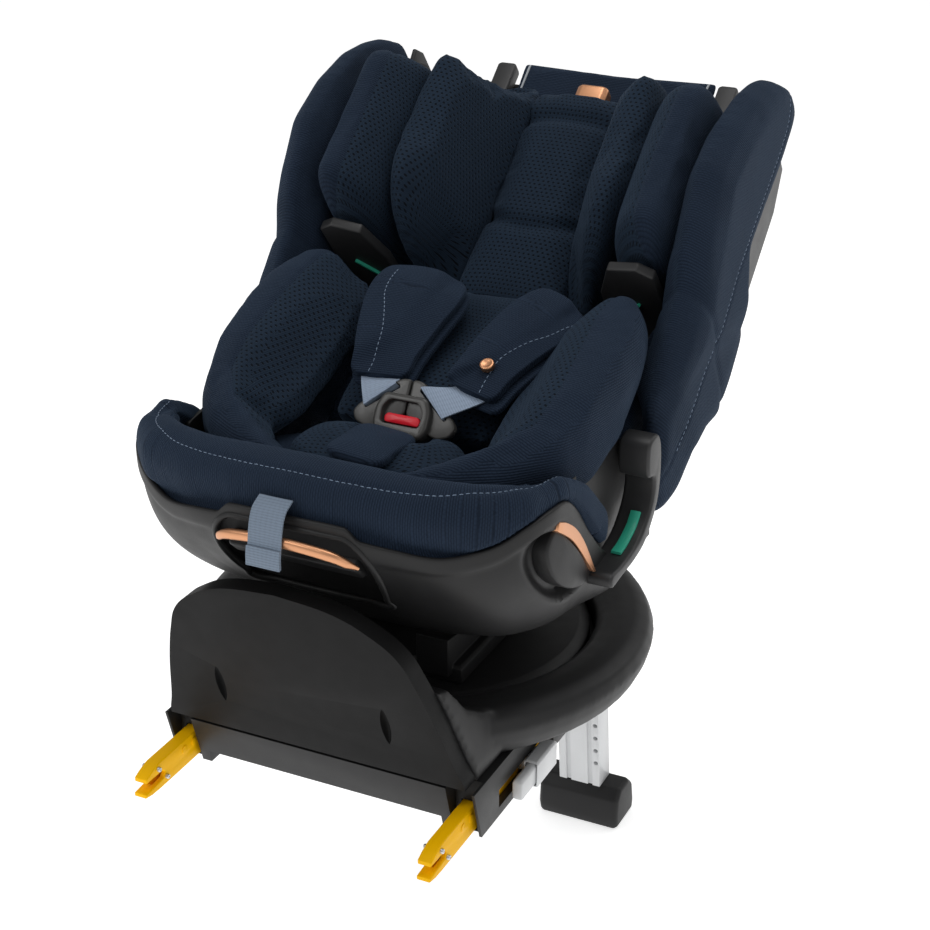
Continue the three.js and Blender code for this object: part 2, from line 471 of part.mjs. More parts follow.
const strapPath = [[-84, 309], [-97, 304], [-104, 291], [-107, 265], [-105, 265], [-102, 291],
  [-96, 302.3], [-84, 307]];
put('adjuster_strap', alongX(strapPath, -27, 11), 'webbing');

export default group;
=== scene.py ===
import json
from math import cos, pi, radians, sin

import bmesh
import bpy
import numpy as np
from numpy.linalg import norm
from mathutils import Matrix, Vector
from mathutils.bvhtree import BVHTree


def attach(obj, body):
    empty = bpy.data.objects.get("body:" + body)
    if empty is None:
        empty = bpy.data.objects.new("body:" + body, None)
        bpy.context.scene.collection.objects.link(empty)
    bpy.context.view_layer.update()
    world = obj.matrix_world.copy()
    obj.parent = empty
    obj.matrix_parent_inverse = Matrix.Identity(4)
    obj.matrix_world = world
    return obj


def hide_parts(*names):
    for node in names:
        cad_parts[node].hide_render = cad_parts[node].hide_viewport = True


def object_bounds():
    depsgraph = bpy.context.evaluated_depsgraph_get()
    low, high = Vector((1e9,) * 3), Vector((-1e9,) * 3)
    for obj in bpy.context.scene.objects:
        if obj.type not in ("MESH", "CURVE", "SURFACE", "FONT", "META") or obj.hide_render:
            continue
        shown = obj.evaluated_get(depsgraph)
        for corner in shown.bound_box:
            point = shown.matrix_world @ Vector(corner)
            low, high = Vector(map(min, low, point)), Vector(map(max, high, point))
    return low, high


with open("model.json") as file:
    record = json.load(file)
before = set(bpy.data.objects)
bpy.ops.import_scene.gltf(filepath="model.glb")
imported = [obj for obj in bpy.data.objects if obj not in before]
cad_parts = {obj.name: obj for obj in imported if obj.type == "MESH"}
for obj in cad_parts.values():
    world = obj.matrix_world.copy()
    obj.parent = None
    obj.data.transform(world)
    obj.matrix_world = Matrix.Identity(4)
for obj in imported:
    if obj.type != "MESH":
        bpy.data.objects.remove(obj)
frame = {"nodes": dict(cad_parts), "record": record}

CAD_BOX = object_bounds()
NODES = frame["nodes"]
BODY = {n: b for b, ns in frame["record"]["behaviour"]["bodies"].items() for n in ns}
MM = 0.001
SCENE = bpy.context.scene

# ---- camera ----
AZIMUTH, ELEVATION = radians(25.67), radians(24.61)
camera_data = bpy.data.cameras.new("camera")
camera_data.lens, camera_data.sensor_width = 75.4, 36
camera = bpy.data.objects.new("camera", camera_data)
SCENE.collection.objects.link(camera)
camera.location = (0.744, -1.295, 0.989)
AWAY = Vector((sin(AZIMUTH) * cos(ELEVATION), -cos(AZIMUTH) * cos(ELEVATION), sin(ELEVATION)))
camera.rotation_mode = "QUATERNION"
camera.rotation_quaternion = (-AWAY).to_track_quat("-Z", "Y")
SCENE.camera = camera

# ---- frames of the seat, in mm ----
BACK_O, BACK_ANGLE = (200, 127), radians(40)
PANEL_LEAN = 0.30
CB, SB = cos(BACK_ANGLE), sin(BACK_ANGLE)


def back(x, u, w):
    """x across, u up the backrest, w out of it."""
    return (x, BACK_O[0] + u * CB - w * SB, BACK_O[1] + u * SB + w * CB)


def up_back(x, u0, u1, w):
    """A straight line up the backrest."""
    return [back(x, u0, w), back(x, u1, w)]


def on_back(co):
    """(x, u, w) of points in mm."""
    y, z = co[:, 1] - BACK_O[0], co[:, 2] - BACK_O[1]
    return np.stack([co[:, 0], y * CB + z * SB, -y * SB + z * CB], 1)


# ---- meshes ----
SIDES = (("right", 1), ("left", -1))


def linked(name, data):
    """A new object in the scene."""
    ob = bpy.data.objects.new(name, data)
    SCENE.collection.objects.link(ob)
    return ob


def build(name, verts, faces):
    """A mesh object from points in mm."""
    me = bpy.data.meshes.new(name)
    me.from_pydata([Vector(v) * MM for v in verts], [], faces)
    ob = linked(name, me)
    edit(ob, lambda bm: bmesh.ops.recalc_face_normals(bm, faces=bm.faces))
    return ob


def edit(ob, work):
    bm = bmesh.new()
    bm.from_mesh(ob.data)
    work(bm)
    bm.to_mesh(ob.data)
    bm.free()


def read_all(rows, key, width=3, kind=float):
    """One value of every row of a mesh collection."""
    values = np.zeros(len(rows) * width, kind)
    rows.foreach_get(key, values)
    return values.reshape(-1, width) if width > 1 else values


def get_co(ob):
    return read_all(ob.data.vertices, "co") / MM


def set_co(ob, co):
    ob.data.vertices.foreach_set("co", (co * MM).ravel())
    ob.data.update()


def get_no(ob):
    return read_all(ob.data.vertices, "normal")


def bake(ob):
    """Applies all modifiers."""
    dg = bpy.context.evaluated_depsgraph_get()
    me = bpy.data.meshes.new_from_object(ob.evaluated_get(dg))
    ob.modifiers.clear()
    ob.data = me
    return ob


def modify(ob, kind, **values):
    m = ob.modifiers.new(kind, kind)
    for k, v in values.items():
        setattr(m, k, v)
    return m


def floats(points):
    return np.array(points, float)


def spline(points, steps=8, closed=False):
    """Catmull-Rom curve through the points."""
    p = floats(points)
    n = len(p)
    out = []
    for i in range(n if closed else n - 1):
        if closed:
            a, b, c, d = (p[(i + k) % n] for k in (-1, 0, 1, 2))
        else:
            b, c = p[i], p[i + 1]
            a = p[i - 1] if i > 0 else 2 * b - c
            d = p[i + 2] if i + 2 < n else 2 * c - b
        for t in np.arange(steps) / steps:
            out.append(0.5 * (2 * b + (c - a) * t + (2 * a - 5 * b + 4 * c - d) * t * t
                + (3 * b - a - 3 * c + d) * t ** 3))
    if not closed:
        out.append(p[-1])
    return np.array(out)


def resample(path, step):
    path = floats(path)
    s = np.r_[0, np.cumsum(norm(np.diff(path, axis=0), axis=1))]
    at = np.linspace(0, s[-1], max(2, int(round(s[-1] / step)) + 1))
    return np.stack([np.interp(at, s, path[:, k]) for k in range(path.shape[1])], 1)


def mirror(points):
    """The points from last to first, on the other side of x = 0."""
    return [(-p[0], *p[1:]) for p in reversed(points)]


def rounded(outline, radius, steps=5):
    """The outline with its corners rounded; a point may carry its own radius."""
    pts = [np.array(p[:2], float) for p in outline]
    radii = [p[2] if len(p) > 2 else radius for p in outline]
    out = []
    for i, p in enumerate(pts):
        a, b = pts[i - 1] - p, pts[(i + 1) % len(pts)] - p
        la, lb = norm(a), norm(b)
        r = min(radii[i], 0.45 * min(la, lb))
        if r < 0.05:
            out.append(tuple(p))
            continue
        p0, p1 = p + a / la * r, p + b / lb * r
        for k in range(steps + 1):
            t = k / steps
            out.append(tuple((1 - t) ** 2 * p0 + 2 * t * (1 - t) * p + t * t * p1))
    return out


def superellipse(cx, cy, a, b, power, n):
    t = np.arange(n) * 2 * pi / n
    c, s = np.cos(t), np.sin(t)
    return [(cx + a * x, cy + b * y) for x, y in
            zip(np.sign(c) * np.abs(c) ** (2 / power), np.sign(s) * np.abs(s) ** (2 / power))]


def ease(x, lo, hi):
    t = np.clip((np.asarray(x, float) - lo) / (hi - lo), 0, 1)
    return t * t * (3 - 2 * t)


def shade(ob, angle=32):
    ob.data.polygons.foreach_set("use_smooth", [True] * len(ob.data.polygons))
    ob.data.set_sharp_from_angle(angle=radians(angle))


def bevelled(ob, width, segments=3, angle=32):
    modify(ob, "BEVEL", width=width * MM, segments=segments, limit_method="ANGLE", angle_limit=radians(angle),
           use_clamp_overlap=True)
    bake(ob)
    shade(ob, 50)
    return ob


def prism(name, outline, h0, h1, place, bevel=0.8, segments=3):
    """Extruded outline; place(a, b, h) puts a point in space."""
    n = len(outline)
    verts = [place(a, b, h) for h in (h0, h1) for a, b in outline]
    faces = [tuple(range(n))[::-1], tuple(range(n, 2 * n))]
    faces += [(i, (i + 1) % n, n + (i + 1) % n, n + i) for i in range(n)]
    ob = build(name, verts, faces)
    if bevel:
        bevelled(ob, bevel, segments)
    return ob


def loft(name, rings, closed=False, caps=True):
    n = len(rings[0])
    verts = [tuple(p) for r in rings for p in r]
    faces = []
    for k in range(len(rings) if closed else len(rings) - 1):
        a, b = k * n, ((k + 1) % len(rings)) * n
        faces += [(a + i, a + (i + 1) % n, b + (i + 1) % n, b + i) for i in range(n)]
    if caps and not closed:
        faces += [tuple(range(n))[::-1], tuple(range((len(rings) - 1) * n, len(rings) * n))]
    ob = build(name, verts, faces)
    shade(ob, 60)
    return ob


def sweep(name, path, section, up=(0, 0, 1), scale=None):
    """section (side, up) points carried along the path."""
    path = floats(path)
    rings = []
    for i, p in enumerate(path):
        t = path[min(i + 1, len(path) - 1)] - path[max(i - 1, 0)]
        t /= norm(t)
        u = floats(up) - np.dot(up, t) * t
        u /= norm(u)
        side = np.cross(t, u)
        k = scale[i] if scale is not None else 1
        rings.append([p + side * a * k + u * b * k for a, b in section])
    return loft(name, rings)


def pillow(name, outline, place, low, high, crown, soft=3.0, rows=7):
    """A pad with a crowned top over a closed outline: low and high are its edge heights."""
    o = floats(outline)
    c = o.mean(0)
    size = norm(o - c, axis=1).mean()
    rings = []

    def ring(inset, h):
        k = 1 - inset / size
        rings.append([place(*(c + (p - c) * k), h) for p in o])
    ring(size * 0.5, low)
    ring(soft * 1.2, low)
    for t in np.linspace(0, 1, 5):
        ring(soft * (1 - sin(t * pi / 2)), low + soft * (1 - cos(t * pi / 2)))
    for t in np.linspace(0, 1, 5):
        ring(soft * (1 - cos(t * pi / 2)), high - soft * (1 - sin(t * pi / 2)))
    for k in np.linspace(0.06, 0.97, rows):
        ring(soft + (size - soft) * k, high + crown * (1 - (1 - k) ** 2.4))
    return loft(name, rings)


def flipped(ob, name):
    """A mirror copy across the seat's middle plane."""
    me = ob.data.copy()
    other = linked(name, me)
    co = get_co(other)
    co[:, 0] *= -1
    set_co(other, co)
    me.flip_normals()
    return other


def cut(ob, *cutters):
    for c in cutters:
        modify(ob, "BOOLEAN", operation="DIFFERENCE", object=c, solver="EXACT")
    bake(ob)
    for c in cutters:
        bpy.data.objects.remove(c)
    shade(ob, 32)
    return ob


def copy_of(node, name):
    me = NODES[node].data.copy()
    ob = linked(name, me)
    me.materials.clear()
    if "custom_normal" in me.attributes:
        me.attributes.remove(me.attributes["custom_normal"])

    def clean(bm):
        bmesh.ops.remove_doubles(bm, verts=bm.verts, dist=2e-5)
        bmesh.ops.dissolve_limit(bm, angle_limit=radians(0.6), verts=bm.verts, edges=bm.edges)
        bmesh.ops.recalc_face_normals(bm, faces=bm.faces)
    edit(ob, clean)
    return ob


def wear(ob, material, body, *stands_for, slot=None):
    """Gives a piece its material and body. The slot, the material's own unless named, is looked up but never
    given to the piece.
    """
    ob.data.materials.clear()
    ob.data.materials.append(material)
    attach(ob, body)
    if stands_for:
        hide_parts(*stands_for)
    slot or SLOTS[material]
    return ob


def hard(node, material, bevel, segments):
    """A moulded piece: the CAD node with its edges broken."""
    ob = copy_of(node, "fine_" + node)
    bevelled(ob, bevel, segments, 25)
    wear(ob, material, BODY[node], node)


# ---- materials ----
class Graph:
    """Short-hand for building a node material."""

    def __init__(self, name):
        self.mat = bpy.data.materials.new(name)
        self.mat.use_nodes = True
        self.tree = self.mat.node_tree
        self.out = self.tree.nodes["Principled BSDF"]

    def new(self, kind):
        return self.tree.nodes.new("ShaderNode" + kind)

    def add(self, kind, **inputs):
        n = self.new(kind)
        for k, v in inputs.items():
            self.feed(n.inputs[k.replace("_", " ")], v)
        return n

    def feed(self, socket, v):
        if isinstance(v, bpy.types.NodeSocket):
            self.tree.links.new(v, socket)
        else:
            socket.default_value = (*v, 1) if isinstance(v,
                tuple) and len(v) == 3 and socket.type == "RGBA" else v

    def math(self, op, a, b=0.0, c=0.0):
        n = self.new("Math")
        n.operation = op
        for s, v in zip(n.inputs, (a, b, c)):
            self.feed(s, v)
        return n.outputs[0]

    def mul(self, a, b):
        return self.math("MULTIPLY", a, b)

    def plus(self, a, b):
        return self.math("ADD", a, b)

    def wave(self, value):
        return self.math("ABSOLUTE", self.math("SINE", value))

    def step(self, value, lo, hi):
        """0 below lo, 1 above hi, smooth between."""
        n = self.new("MapRange")
        n.interpolation_type = "SMOOTHSTEP"
        self.feed(n.inputs["Value"], value)
        n.inputs["From Min"].default_value, n.inputs["From Max"].default_value = lo, hi
        return n.outputs[0]

    def mix(self, fac, a, b):
        n = self.new("Mix")
        n.data_type = "RGBA"
        self.feed(n.inputs["Factor"], fac)
        self.feed(n.inputs[6], a)
        self.feed(n.inputs[7], b)
        return n.outputs[2]

    def noise(self, scale, detail=2.0, stretch=None):
        vec = self.new("TexCoord").outputs["Object"]
        if stretch:
            m = self.new("Mapping")
            self.feed(m.inputs["Vector"], vec)
            m.inputs["Scale"].default_value = stretch
            vec = m.outputs[0]
        n = self.add("TexNoise", Vector=vec, Scale=scale, Detail=detail)
        return n.outputs["Fac"]

    def uv(self):
        n = self.new("UVMap")
        n.uv_map = "cloth"
        s = self.add("SeparateXYZ", Vector=n.outputs[0])
        return s.outputs[0], s.outputs[1]

    def bump(self, height, distance, strength=1.0, under=None):
        n = self.add("Bump", Height=height, Distance=distance, Strength=strength)
        if under:
            self.feed(n.inputs["Normal"], under)
        return n.outputs[0]

    def set(self, **inputs):
        for k, v in inputs.items():
            self.feed(self.out.inputs[k.replace("_", " ")], v)
        return self.mat


def dim(colour, k):
    return tuple(c * k for c in colour)


def plastic(name, colour, rough=0.5, grain=0.00008, worn=0.35, gloss=0.36):
    g = Graph(name)
    blotch = g.noise(9, 4)
    fine = g.noise(1400, 2)
    light = tuple(min(1, c * 1.35 + 0.006) for c in colour)
    col = g.mix(g.step(blotch, 0.35, 0.7), colour, dim(colour, 0.88))
    edge = g.new("NewGeometry").outputs["Pointiness"]
    col = g.mix(g.mul(g.step(edge, 0.53, 0.60), worn), col, light)
    r = g.plus(g.mul(g.noise(60, 3), 0.12), rough - 0.06)
    return g.set(Base_Color=col, Roughness=r, Specular_IOR_Level=gloss, Normal=g.bump(fine, grain, 0.6))


def metal(name, colour, rough=0.3, brushed=(1, 40, 40)):
    g = Graph(name)
    streak = g.noise(160, 3, brushed)
    col = g.mix(streak, dim(colour, 0.86), colour)
    r = g.plus(g.mul(streak, 0.14), rough - 0.05)
    return g.set(Base_Color=col, Metallic=1.0, Roughness=r, Normal=g.bump(streak, 0.00005, 0.4))


def rib_height(g, u, v, pitch, seg):
    """Rows of short raised yarns, each row shifted by half a yarn."""
    row = g.math("FLOOR", g.math("DIVIDE", v, pitch))
    shift = g.mul(g.math("MODULO", row, 2.0), 0.5)
    along = g.plus(g.math("DIVIDE", u, seg), shift)
    ridge = g.wave(g.mul(v, pi / pitch))
    yarn = g.wave(g.mul(along, pi))
    return g.mul(g.math("POWER", ridge, 0.7), g.plus(g.mul(g.math("POWER", yarn, 0.6), 0.45), 0.55))


def hole_grid(g, u, v, du, dv, radius):
    """1 inside the holes of a staggered grid."""
    row = g.math("FLOOR", g.math("DIVIDE", v, dv))
    a = g.plus(g.math("DIVIDE", u, du), g.mul(g.math("MODULO", row, 2.0), 0.5))
    fa = g.mul(g.math("SUBTRACT", g.math("FRACT", a), 0.5), du)
    fb = g.mul(g.math("SUBTRACT", g.math("FRACT", g.math("DIVIDE", v, dv)), 0.5), dv)
    d = g.math("SQRT", g.plus(g.mul(fa, fa), g.mul(fb, fb)))
    return g.math("SUBTRACT", 1.0, g.step(d, radius * 0.62, radius * 1.15))


def fabric(name, dark, light, mesh_dark, mesh_light, pitch=0.0021, seg=0.0036, du=0.0052, dv=0.0044,
        hole=0.00125):
    """Ribbed cloth where the attribute zone is below 0, perforated spacer mesh where it is above."""
    g = Graph(name)
    u, v = g.uv()
    u, v = g.plus(u, 4.0), g.plus(v, 4.0)
    rib = rib_height(g, u, v, pitch, seg)
    hole_mask = hole_grid(g, u, v, du, dv, hole)
    zone = g.new("Attribute")
    zone.attribute_name = "zone"
    is_mesh = g.step(zone.outputs["Fac"], -0.25, 0.25)
    tone = g.step(g.noise(14, 4), 0.3, 0.75)
    fuzz = g.noise(2600, 1)
    rib_col = g.mix(rib, dark, light)
    knit = g.wave(g.mul(v, pi / (dv / 3)))
    mesh_col = g.mix(hole_mask, g.mix(knit, mesh_dark, mesh_light), dim(mesh_dark, 0.16))
    col = g.mix(is_mesh, rib_col, mesh_col)
    col = g.mix(g.mul(tone, 0.2), col, dim(dark, 0.62))
    col = g.mix(g.mul(fuzz, 0.15), col, light)
    mesh_h = g.math("SUBTRACT", g.mul(knit, 0.25), g.mul(hole_mask, 1.0))
    rib_part = g.mul(rib, g.math("SUBTRACT", 1.0, is_mesh))
    height = g.plus(rib_part, g.mul(mesh_h, is_mesh))
    soft_wave = g.bump(g.noise(55, 3), 0.0012, 0.35)
    return g.set(Base_Color=col, Roughness=0.9, Sheen_Weight=0.10, Sheen_Roughness=0.4,
        Sheen_Tint=(0.4, 0.62, 0.95),
                 Specular_IOR_Level=0.15, Normal=g.bump(height, 0.0006, 1.0, soft_wave))


def webbing(name, colour):
    g = Graph(name)
    u, v = g.uv()
    rib = rib_height(g, u, g.plus(v, 4.0), 0.0022, 0.0016)
    edge = g.wave(g.mul(u, pi / 0.0052))
    col = g.mix(rib, dim(colour, 0.62), colour)
    col = g.mix(g.mul(edge, 0.2), col, tuple(min(1, c * 1.3) for c in colour))
    return g.set(Base_Color=col, Roughness=0.62, Sheen_Weight=0.2, Normal=g.bump(rib, 0.0003, 0.8))


def plain_thread(name, colour):
    g = Graph(name)
    twist = g.noise(900, 1, (1, 1, 3))
    return g.set(Base_Color=g.mix(twist, dim(colour, 0.7), colour), Roughness=0.7,
        Sheen_Weight=0.3,
                 Normal=g.bump(twist, 0.0002, 0.5))


BLACK = plastic("base_plastic", (0.0125, 0.0125, 0.013), 0.48, gloss=0.32)
PANEL_BLACK = plastic("panel_plastic", (0.0052, 0.0052, 0.0054), 0.55, gloss=0.13)
SHELL = plastic("shell_plastic", (0.0130, 0.0130, 0.0135), 0.50, 0.0001, gloss=0.28)
DARK = plastic("dark_plastic", (0.0105, 0.0105, 0.011), 0.5, gloss=0.3)
BUCKLE = plastic("buckle_plastic", (0.050, 0.049, 0.047), 0.3)
LIGHT = plastic("light_plastic", (0.66, 0.67, 0.68), 0.35, 0.00004, 0.1, 0.5)
YELLOW = plastic("yellow_plastic", (1.0, 0.53, 0.0), 0.42, 0.00004, 0.0, 0.1)
HOOK_GREY = plastic("hook_plastic", (0.021, 0.021, 0.022), 0.44, gloss=0.4)
GREEN = plastic("green_plastic", (0.03, 0.36, 0.24), 0.35, 0.00003, 0.2)
RED = plastic("red_plastic", (0.70, 0.014, 0.03), 0.3, 0.00003, 0.2)
STEEL = metal("steel", (0.62, 0.63, 0.65), 0.3)
COPPER = metal("copper", (0.70, 0.35, 0.19), 0.36)
NAVY = fabric("navy_cloth", (0.0035, 0.0075, 0.0160), (0.0150, 0.0260, 0.0480), (0.0075, 0.0150, 0.0285),
    (0.0135, 0.0255, 0.0440))
STRAP = webbing("light_webbing", (0.25, 0.32, 0.43))
PULL = webbing("pull_webbing", (0.155, 0.205, 0.275))
THREAD = plain_thread("thread", (0.20, 0.28, 0.40))
PIPING = plain_thread("piping", (0.42, 0.45, 0.48))
SLOTS = {BLACK: "plastic", PANEL_BLACK: "plastic", SHELL: "plastic", DARK: "dark_plastic",
    BUCKLE: "grey_plastic",
         HOOK_GREY: "grey_plastic", LIGHT: "light_plastic", YELLOW: "yellow_plastic", GREEN: "green_plastic",
         RED: "red_plastic", STEEL: "steel", COPPER: "copper", STRAP: "webbing", PULL: "webbing",
             THREAD: "webbing",
         PIPING: "webbing"}


# ---- padded pieces ----
def write_uv(ob, u, v):
    layer = ob.data.uv_layers.new(name="cloth")
    layer.data.foreach_set("uv", np.stack([u, v], 1).astype(np.float32).ravel())


def wrap_uv(ob, path, up):
    """UV in metres: along the path, and round it by the length of the section's outline."""
    co = get_co(ob)
    p = floats(path)
    best = np.full(len(co), 1e18)
    s_at, ang = np.zeros(len(co)), np.zeros(len(co))
    rad = np.zeros(len(co))
    start = 0.0
    for a, b in zip(p[:-1], p[1:]):
        d = b - a
        length = norm(d)
        t = d / length
        k = (co - a) @ t
        kc = np.clip(k, -1e9 if np.allclose(a, p[0]) else 0, 1e9 if np.allclose(b, p[-1]) else length)
        r = co - (a + np.outer(kc, t))
        dist = (r ** 2).sum(1)
        u = floats(up) - np.dot(up, t) * t
        u /= norm(u)
        side = np.cross(t, u)
        nearer = dist < best
        best[nearer] = dist[nearer]
        s_at[nearer] = start + kc[nearer]
        ang[nearer] = np.arctan2(r[nearer] @ side, r[nearer] @ u)
        rad[nearer] = np.hypot(r[nearer] @ side, r[nearer] @ u)
        start += length
    bins = 96
    which = ((ang + pi) / (2 * pi) * bins).astype(int) % bins
    mean = np.array([np.median(rad[which == i]) if (which == i).any() else np.nan for i in range(bins)])
    ok = ~np.isnan(mean)
    mean = np.interp(np.arange(bins), np.flatnonzero(ok), mean[ok])
    mean = np.convolve(np.r_[mean[-2:], mean, mean[:2]], np.ones(5) / 5, "valid")
    theta = (np.arange(3 * bins + 1) - bins) / bins * 2 * pi - pi
    rr = np.tile(mean, 4)[: len(theta)]
    arc = np.r_[0, np.cumsum(np.hypot(np.diff(rr), rr[:-1] * 2 * pi / bins))]
    arc -= np.interp(0, theta, arc)
    loops = read_all(ob.data.loops, "vertex_index", 1, np.int32)
    la = ang[loops]
    starts = np.array([q.loop_start for q in ob.data.polygons])
    counts = np.array([q.loop_total for q in ob.data.polygons])
    face = np.repeat(np.arange(len(starts)), counts)
    hi = np.maximum.reduceat(la, starts)
    lo = np.minimum.reduceat(la, starts)
    wrap = (hi - lo > pi)[face] & (la < 0)
    la = la + np.where(wrap, 2 * pi, 0)
    write_uv(ob, np.interp(la, theta, arc) * MM, s_at[loops] * MM)


def box_uv(ob):
    """UV in metres, seen along the axis that each face looks along most."""
    me = ob.data
    normals = read_all(me.polygons, "normal")
    loops = read_all(me.loops, "vertex_index", 1, np.int32)
    major = np.repeat(np.abs(normals).argmax(1), [q.loop_total for q in me.polygons])
    c = get_co(ob)[loops] * MM
    write_uv(ob, np.where(major == 0, c[:, 1], c[:, 0]), np.where(major == 2, c[:, 1], c[:, 2]))


ALL_RIBBED, ALL_MESH = -5.0, 5.0


def all_mesh(co):
    return np.full(len(co), ALL_MESH)


def set_zone(ob, values):
    a = ob.data.attributes.new("zone", "FLOAT", "POINT")
    a.data.foreach_set("value", np.asarray(values, np.float32))


def line_distance(co, line):
    """Distance in mm of points from a polyline."""
    p = floats(line)
    best = np.full(len(co), 1e9)
    for a, b in zip(p[:-1], p[1:]):
        d = b - a
        t = np.clip(((co - a) @ d) / max(d @ d, 1e-9), 0, 1)
        best = np.minimum(best, norm(co - a - t[:, None] * d, axis=1))
    return best


def crease(ob, distance, depth, width):
    """Pulls the surface in along a line, as a seam does. distance holds each point's distance from it."""
    co, no = get_co(ob), get_no(ob)
    set_co(ob, co - no * (depth * np.exp(-(distance / width) ** 2))[:, None])


def remeshed(ob, voxel, smooth, shrink=0.0):
    modify(ob, "REMESH", mode="VOXEL", voxel_size=voxel * MM)
    modify(ob, "SMOOTH", factor=0.5, iterations=smooth)
    bake(ob)
    if shrink:
        set_co(ob, get_co(ob) - get_no(ob) * shrink)
    return ob


PUFF = []


def puff(ob, pressure, cap):
    """Marks a mesh for the one cloth simulation that fills all the pads."""
    PUFF.append((ob, pressure, cap, get_co(ob)))


CLOTH = {"quality": 4, "mass": 0.25, "tension_stiffness": 12, "compression_stiffness": 12,
    "shear_stiffness": 6,
         "bending_stiffness": 1.5, "use_pressure": True}
CLOTH_FRAMES = 20


def run_cloth():
    for ob, pressure, cap, rest in PUFF:
        m = ob.modifiers.new("cloth", "CLOTH")
        for key, value in CLOTH.items():
            setattr(m.settings, key, value)
        m.settings.uniform_pressure_force = pressure
        m.settings.effector_weights.gravity = 0
        m.collision_settings.use_collision = False
        m.point_cache.frame_start, m.point_cache.frame_end = 1, CLOTH_FRAMES
    for f in range(1, CLOTH_FRAMES + 1):
        SCENE.frame_set(f)
    for ob, pressure, cap, rest in PUFF:
        bake(ob)
        move = get_co(ob) - rest
        far = norm(move, axis=1)
        set_co(ob, rest + move * (np.minimum(far, cap) / np.maximum(far, 1e-6))[:, None])
    SCENE.frame_set(1)


def subdivided(ob):
    modify(ob, "SUBSURF", levels=1, render_levels=1)
    bake(ob)
    shade(ob, 80)
    return ob


DASH, GAP = 3.3, 2.1


def thread_line(name, target, path, radius=0.38, material=THREAD, lift=0.15, solid=False):
    """A row of stitches lying on the target along the path."""
    me = target.data
    tree = BVHTree.FromPolygons([v.co for v in me.vertices], [tuple(p.vertices) for p in me.polygons])
    fine = resample(path, 1.0)
    on, normals = [], []
    for p in fine:
        loc, no, _, _ = tree.find_nearest(Vector(p) * MM)
        on.append(np.array(loc) / MM)
        normals.append(np.array(no))
    on, normals = np.array(on), np.array(normals)
    for _ in range(3):
        on[1:-1] = (on[:-2] + 2 * on[1:-1] + on[2:]) / 4
    s = np.r_[0, np.cumsum(norm(np.diff(on, axis=0), axis=1))]

    def at(x):
        return (np.array([np.interp(x, s, on[:, k]) for k in range(3)]),
                np.array([np.interp(x, s, normals[:, k]) for k in range(3)]))
    verts, faces = [], []
    x = 0.0
    sides = 6
    while x + DASH < s[-1]:
        long = s[-1] if solid else DASH
        steps = max(4, int(long / 2.2)) if solid else 4
        first = len(verts)
        for i in range(steps + 1):
            t = i / steps
            p, n = at(x + long * t)
            q, _ = at(min(x + long * t + 0.6, s[-1]))
            o, _ = at(max(x + long * t - 0.6, 0))
            d = (q - o) / max(norm(q - o), 1e-6)
            n = n - (n @ d) * d
            n /= max(norm(n), 1e-6)
            side = np.cross(d, n)
            r = radius * (1 if solid and 0 < i < steps else max(0.25, sin(pi * (0.12 + 0.76 * t)) ** 0.5))
            rise = lift if solid else lift - 0.45 * radius * (abs(t - 0.5) * 2) ** 3
            for k in range(sides):
                a = 2 * pi * k / sides
                verts.append(p + n * (rise + r * sin(a)) + side * r * cos(a))
        for i in range(steps):
            for k in range(sides):
                a, b = first + i * sides + k, first + i * sides + (k + 1) % sides
                faces.append((a, b, b + sides, a + sides))
        faces.append(tuple(first + k for k in range(sides))[::-1])
        faces.append(tuple(first + steps * sides + k for k in range(sides)))
        if solid:
            break
        x += DASH + GAP
    ob = build(name, verts, faces)
    shade(ob, 70)
    wear(ob, material, "seat")


UP_BACK = (0, -SB, CB)
PADS = {}


def pad(node, voxel, smooth, pressure, cap, shrink=1.5, source=None, fuller=None):
    """Starts a padded piece from its CAD solid. fuller: (x, amount) pushes what lies beyond x outwards."""
    ob = source or copy_of(node, "pad_" + node)
    remeshed(ob, voxel, smooth, shrink)
    if fuller:
        co = get_co(ob)
        out = ease(co[:, 0], fuller[0], fuller[0] + 12) * ease(co[:, 2], 320, 360)
        set_co(ob, co + np.outer(out * fuller[1], (1, 0, 0)))
    puff(ob, pressure, cap)
    PADS[node] = ob
    return ob


def finish_pad(node, path, up, zone=None, creases=(), twin=None):
    """Seams, cloth coordinates and material of a padded piece, and its mirror copy."""
    ob = PADS[node]
    subdivided(ob)
    for distance, depth, width in creases:
        crease(ob, distance(get_co(ob)), depth, width)
    if path is None:
        box_uv(ob)
    else:
        wrap_uv(ob, path, up)
    set_zone(ob, zone(get_co(ob)) if zone else [ALL_RIBBED] * len(ob.data.vertices))
    made = [(ob, node)]
    if twin:
        made.append((flipped(ob, "pad_" + twin), twin))
    for o, n in made:
        wear(o, NAVY, BODY[n], n, slot="mesh" if zone else "fabric")
    return [o for o, _ in made]


# ---- the pads' starting shapes ----
def lobe(name, section, foot, low, high, soft):
    """A pad standing on the headrest. low and high: its start and end, at its foot and at its crest."""
    crest = max(w for _, w in section)
    rings = []
    for s in np.linspace(0, 1, 27):
        a, b = max(0, 1 - s / soft[0]), max(0, 1 - (1 - s) / soft[1])
        f = max(0.05, (1 - a ** 2.2) ** (1 / 2.2) * (1 - b ** 3) ** (1 / 3))
        ring = []
        for x, w in section:
            k = (w - foot[1]) / (crest - foot[1])
            start, end = low[0] + (low[1] - low[0]) * k, high[0] + (high[1] - high[0]) * k
            ring.append(back(foot[0] + (x - foot[0]) * (0.4 + 0.6 * f), start + (end - start) * s,
                foot[1] + (w - foot[1]) * f))
        rings.append(ring)
    return loft(name, rings)


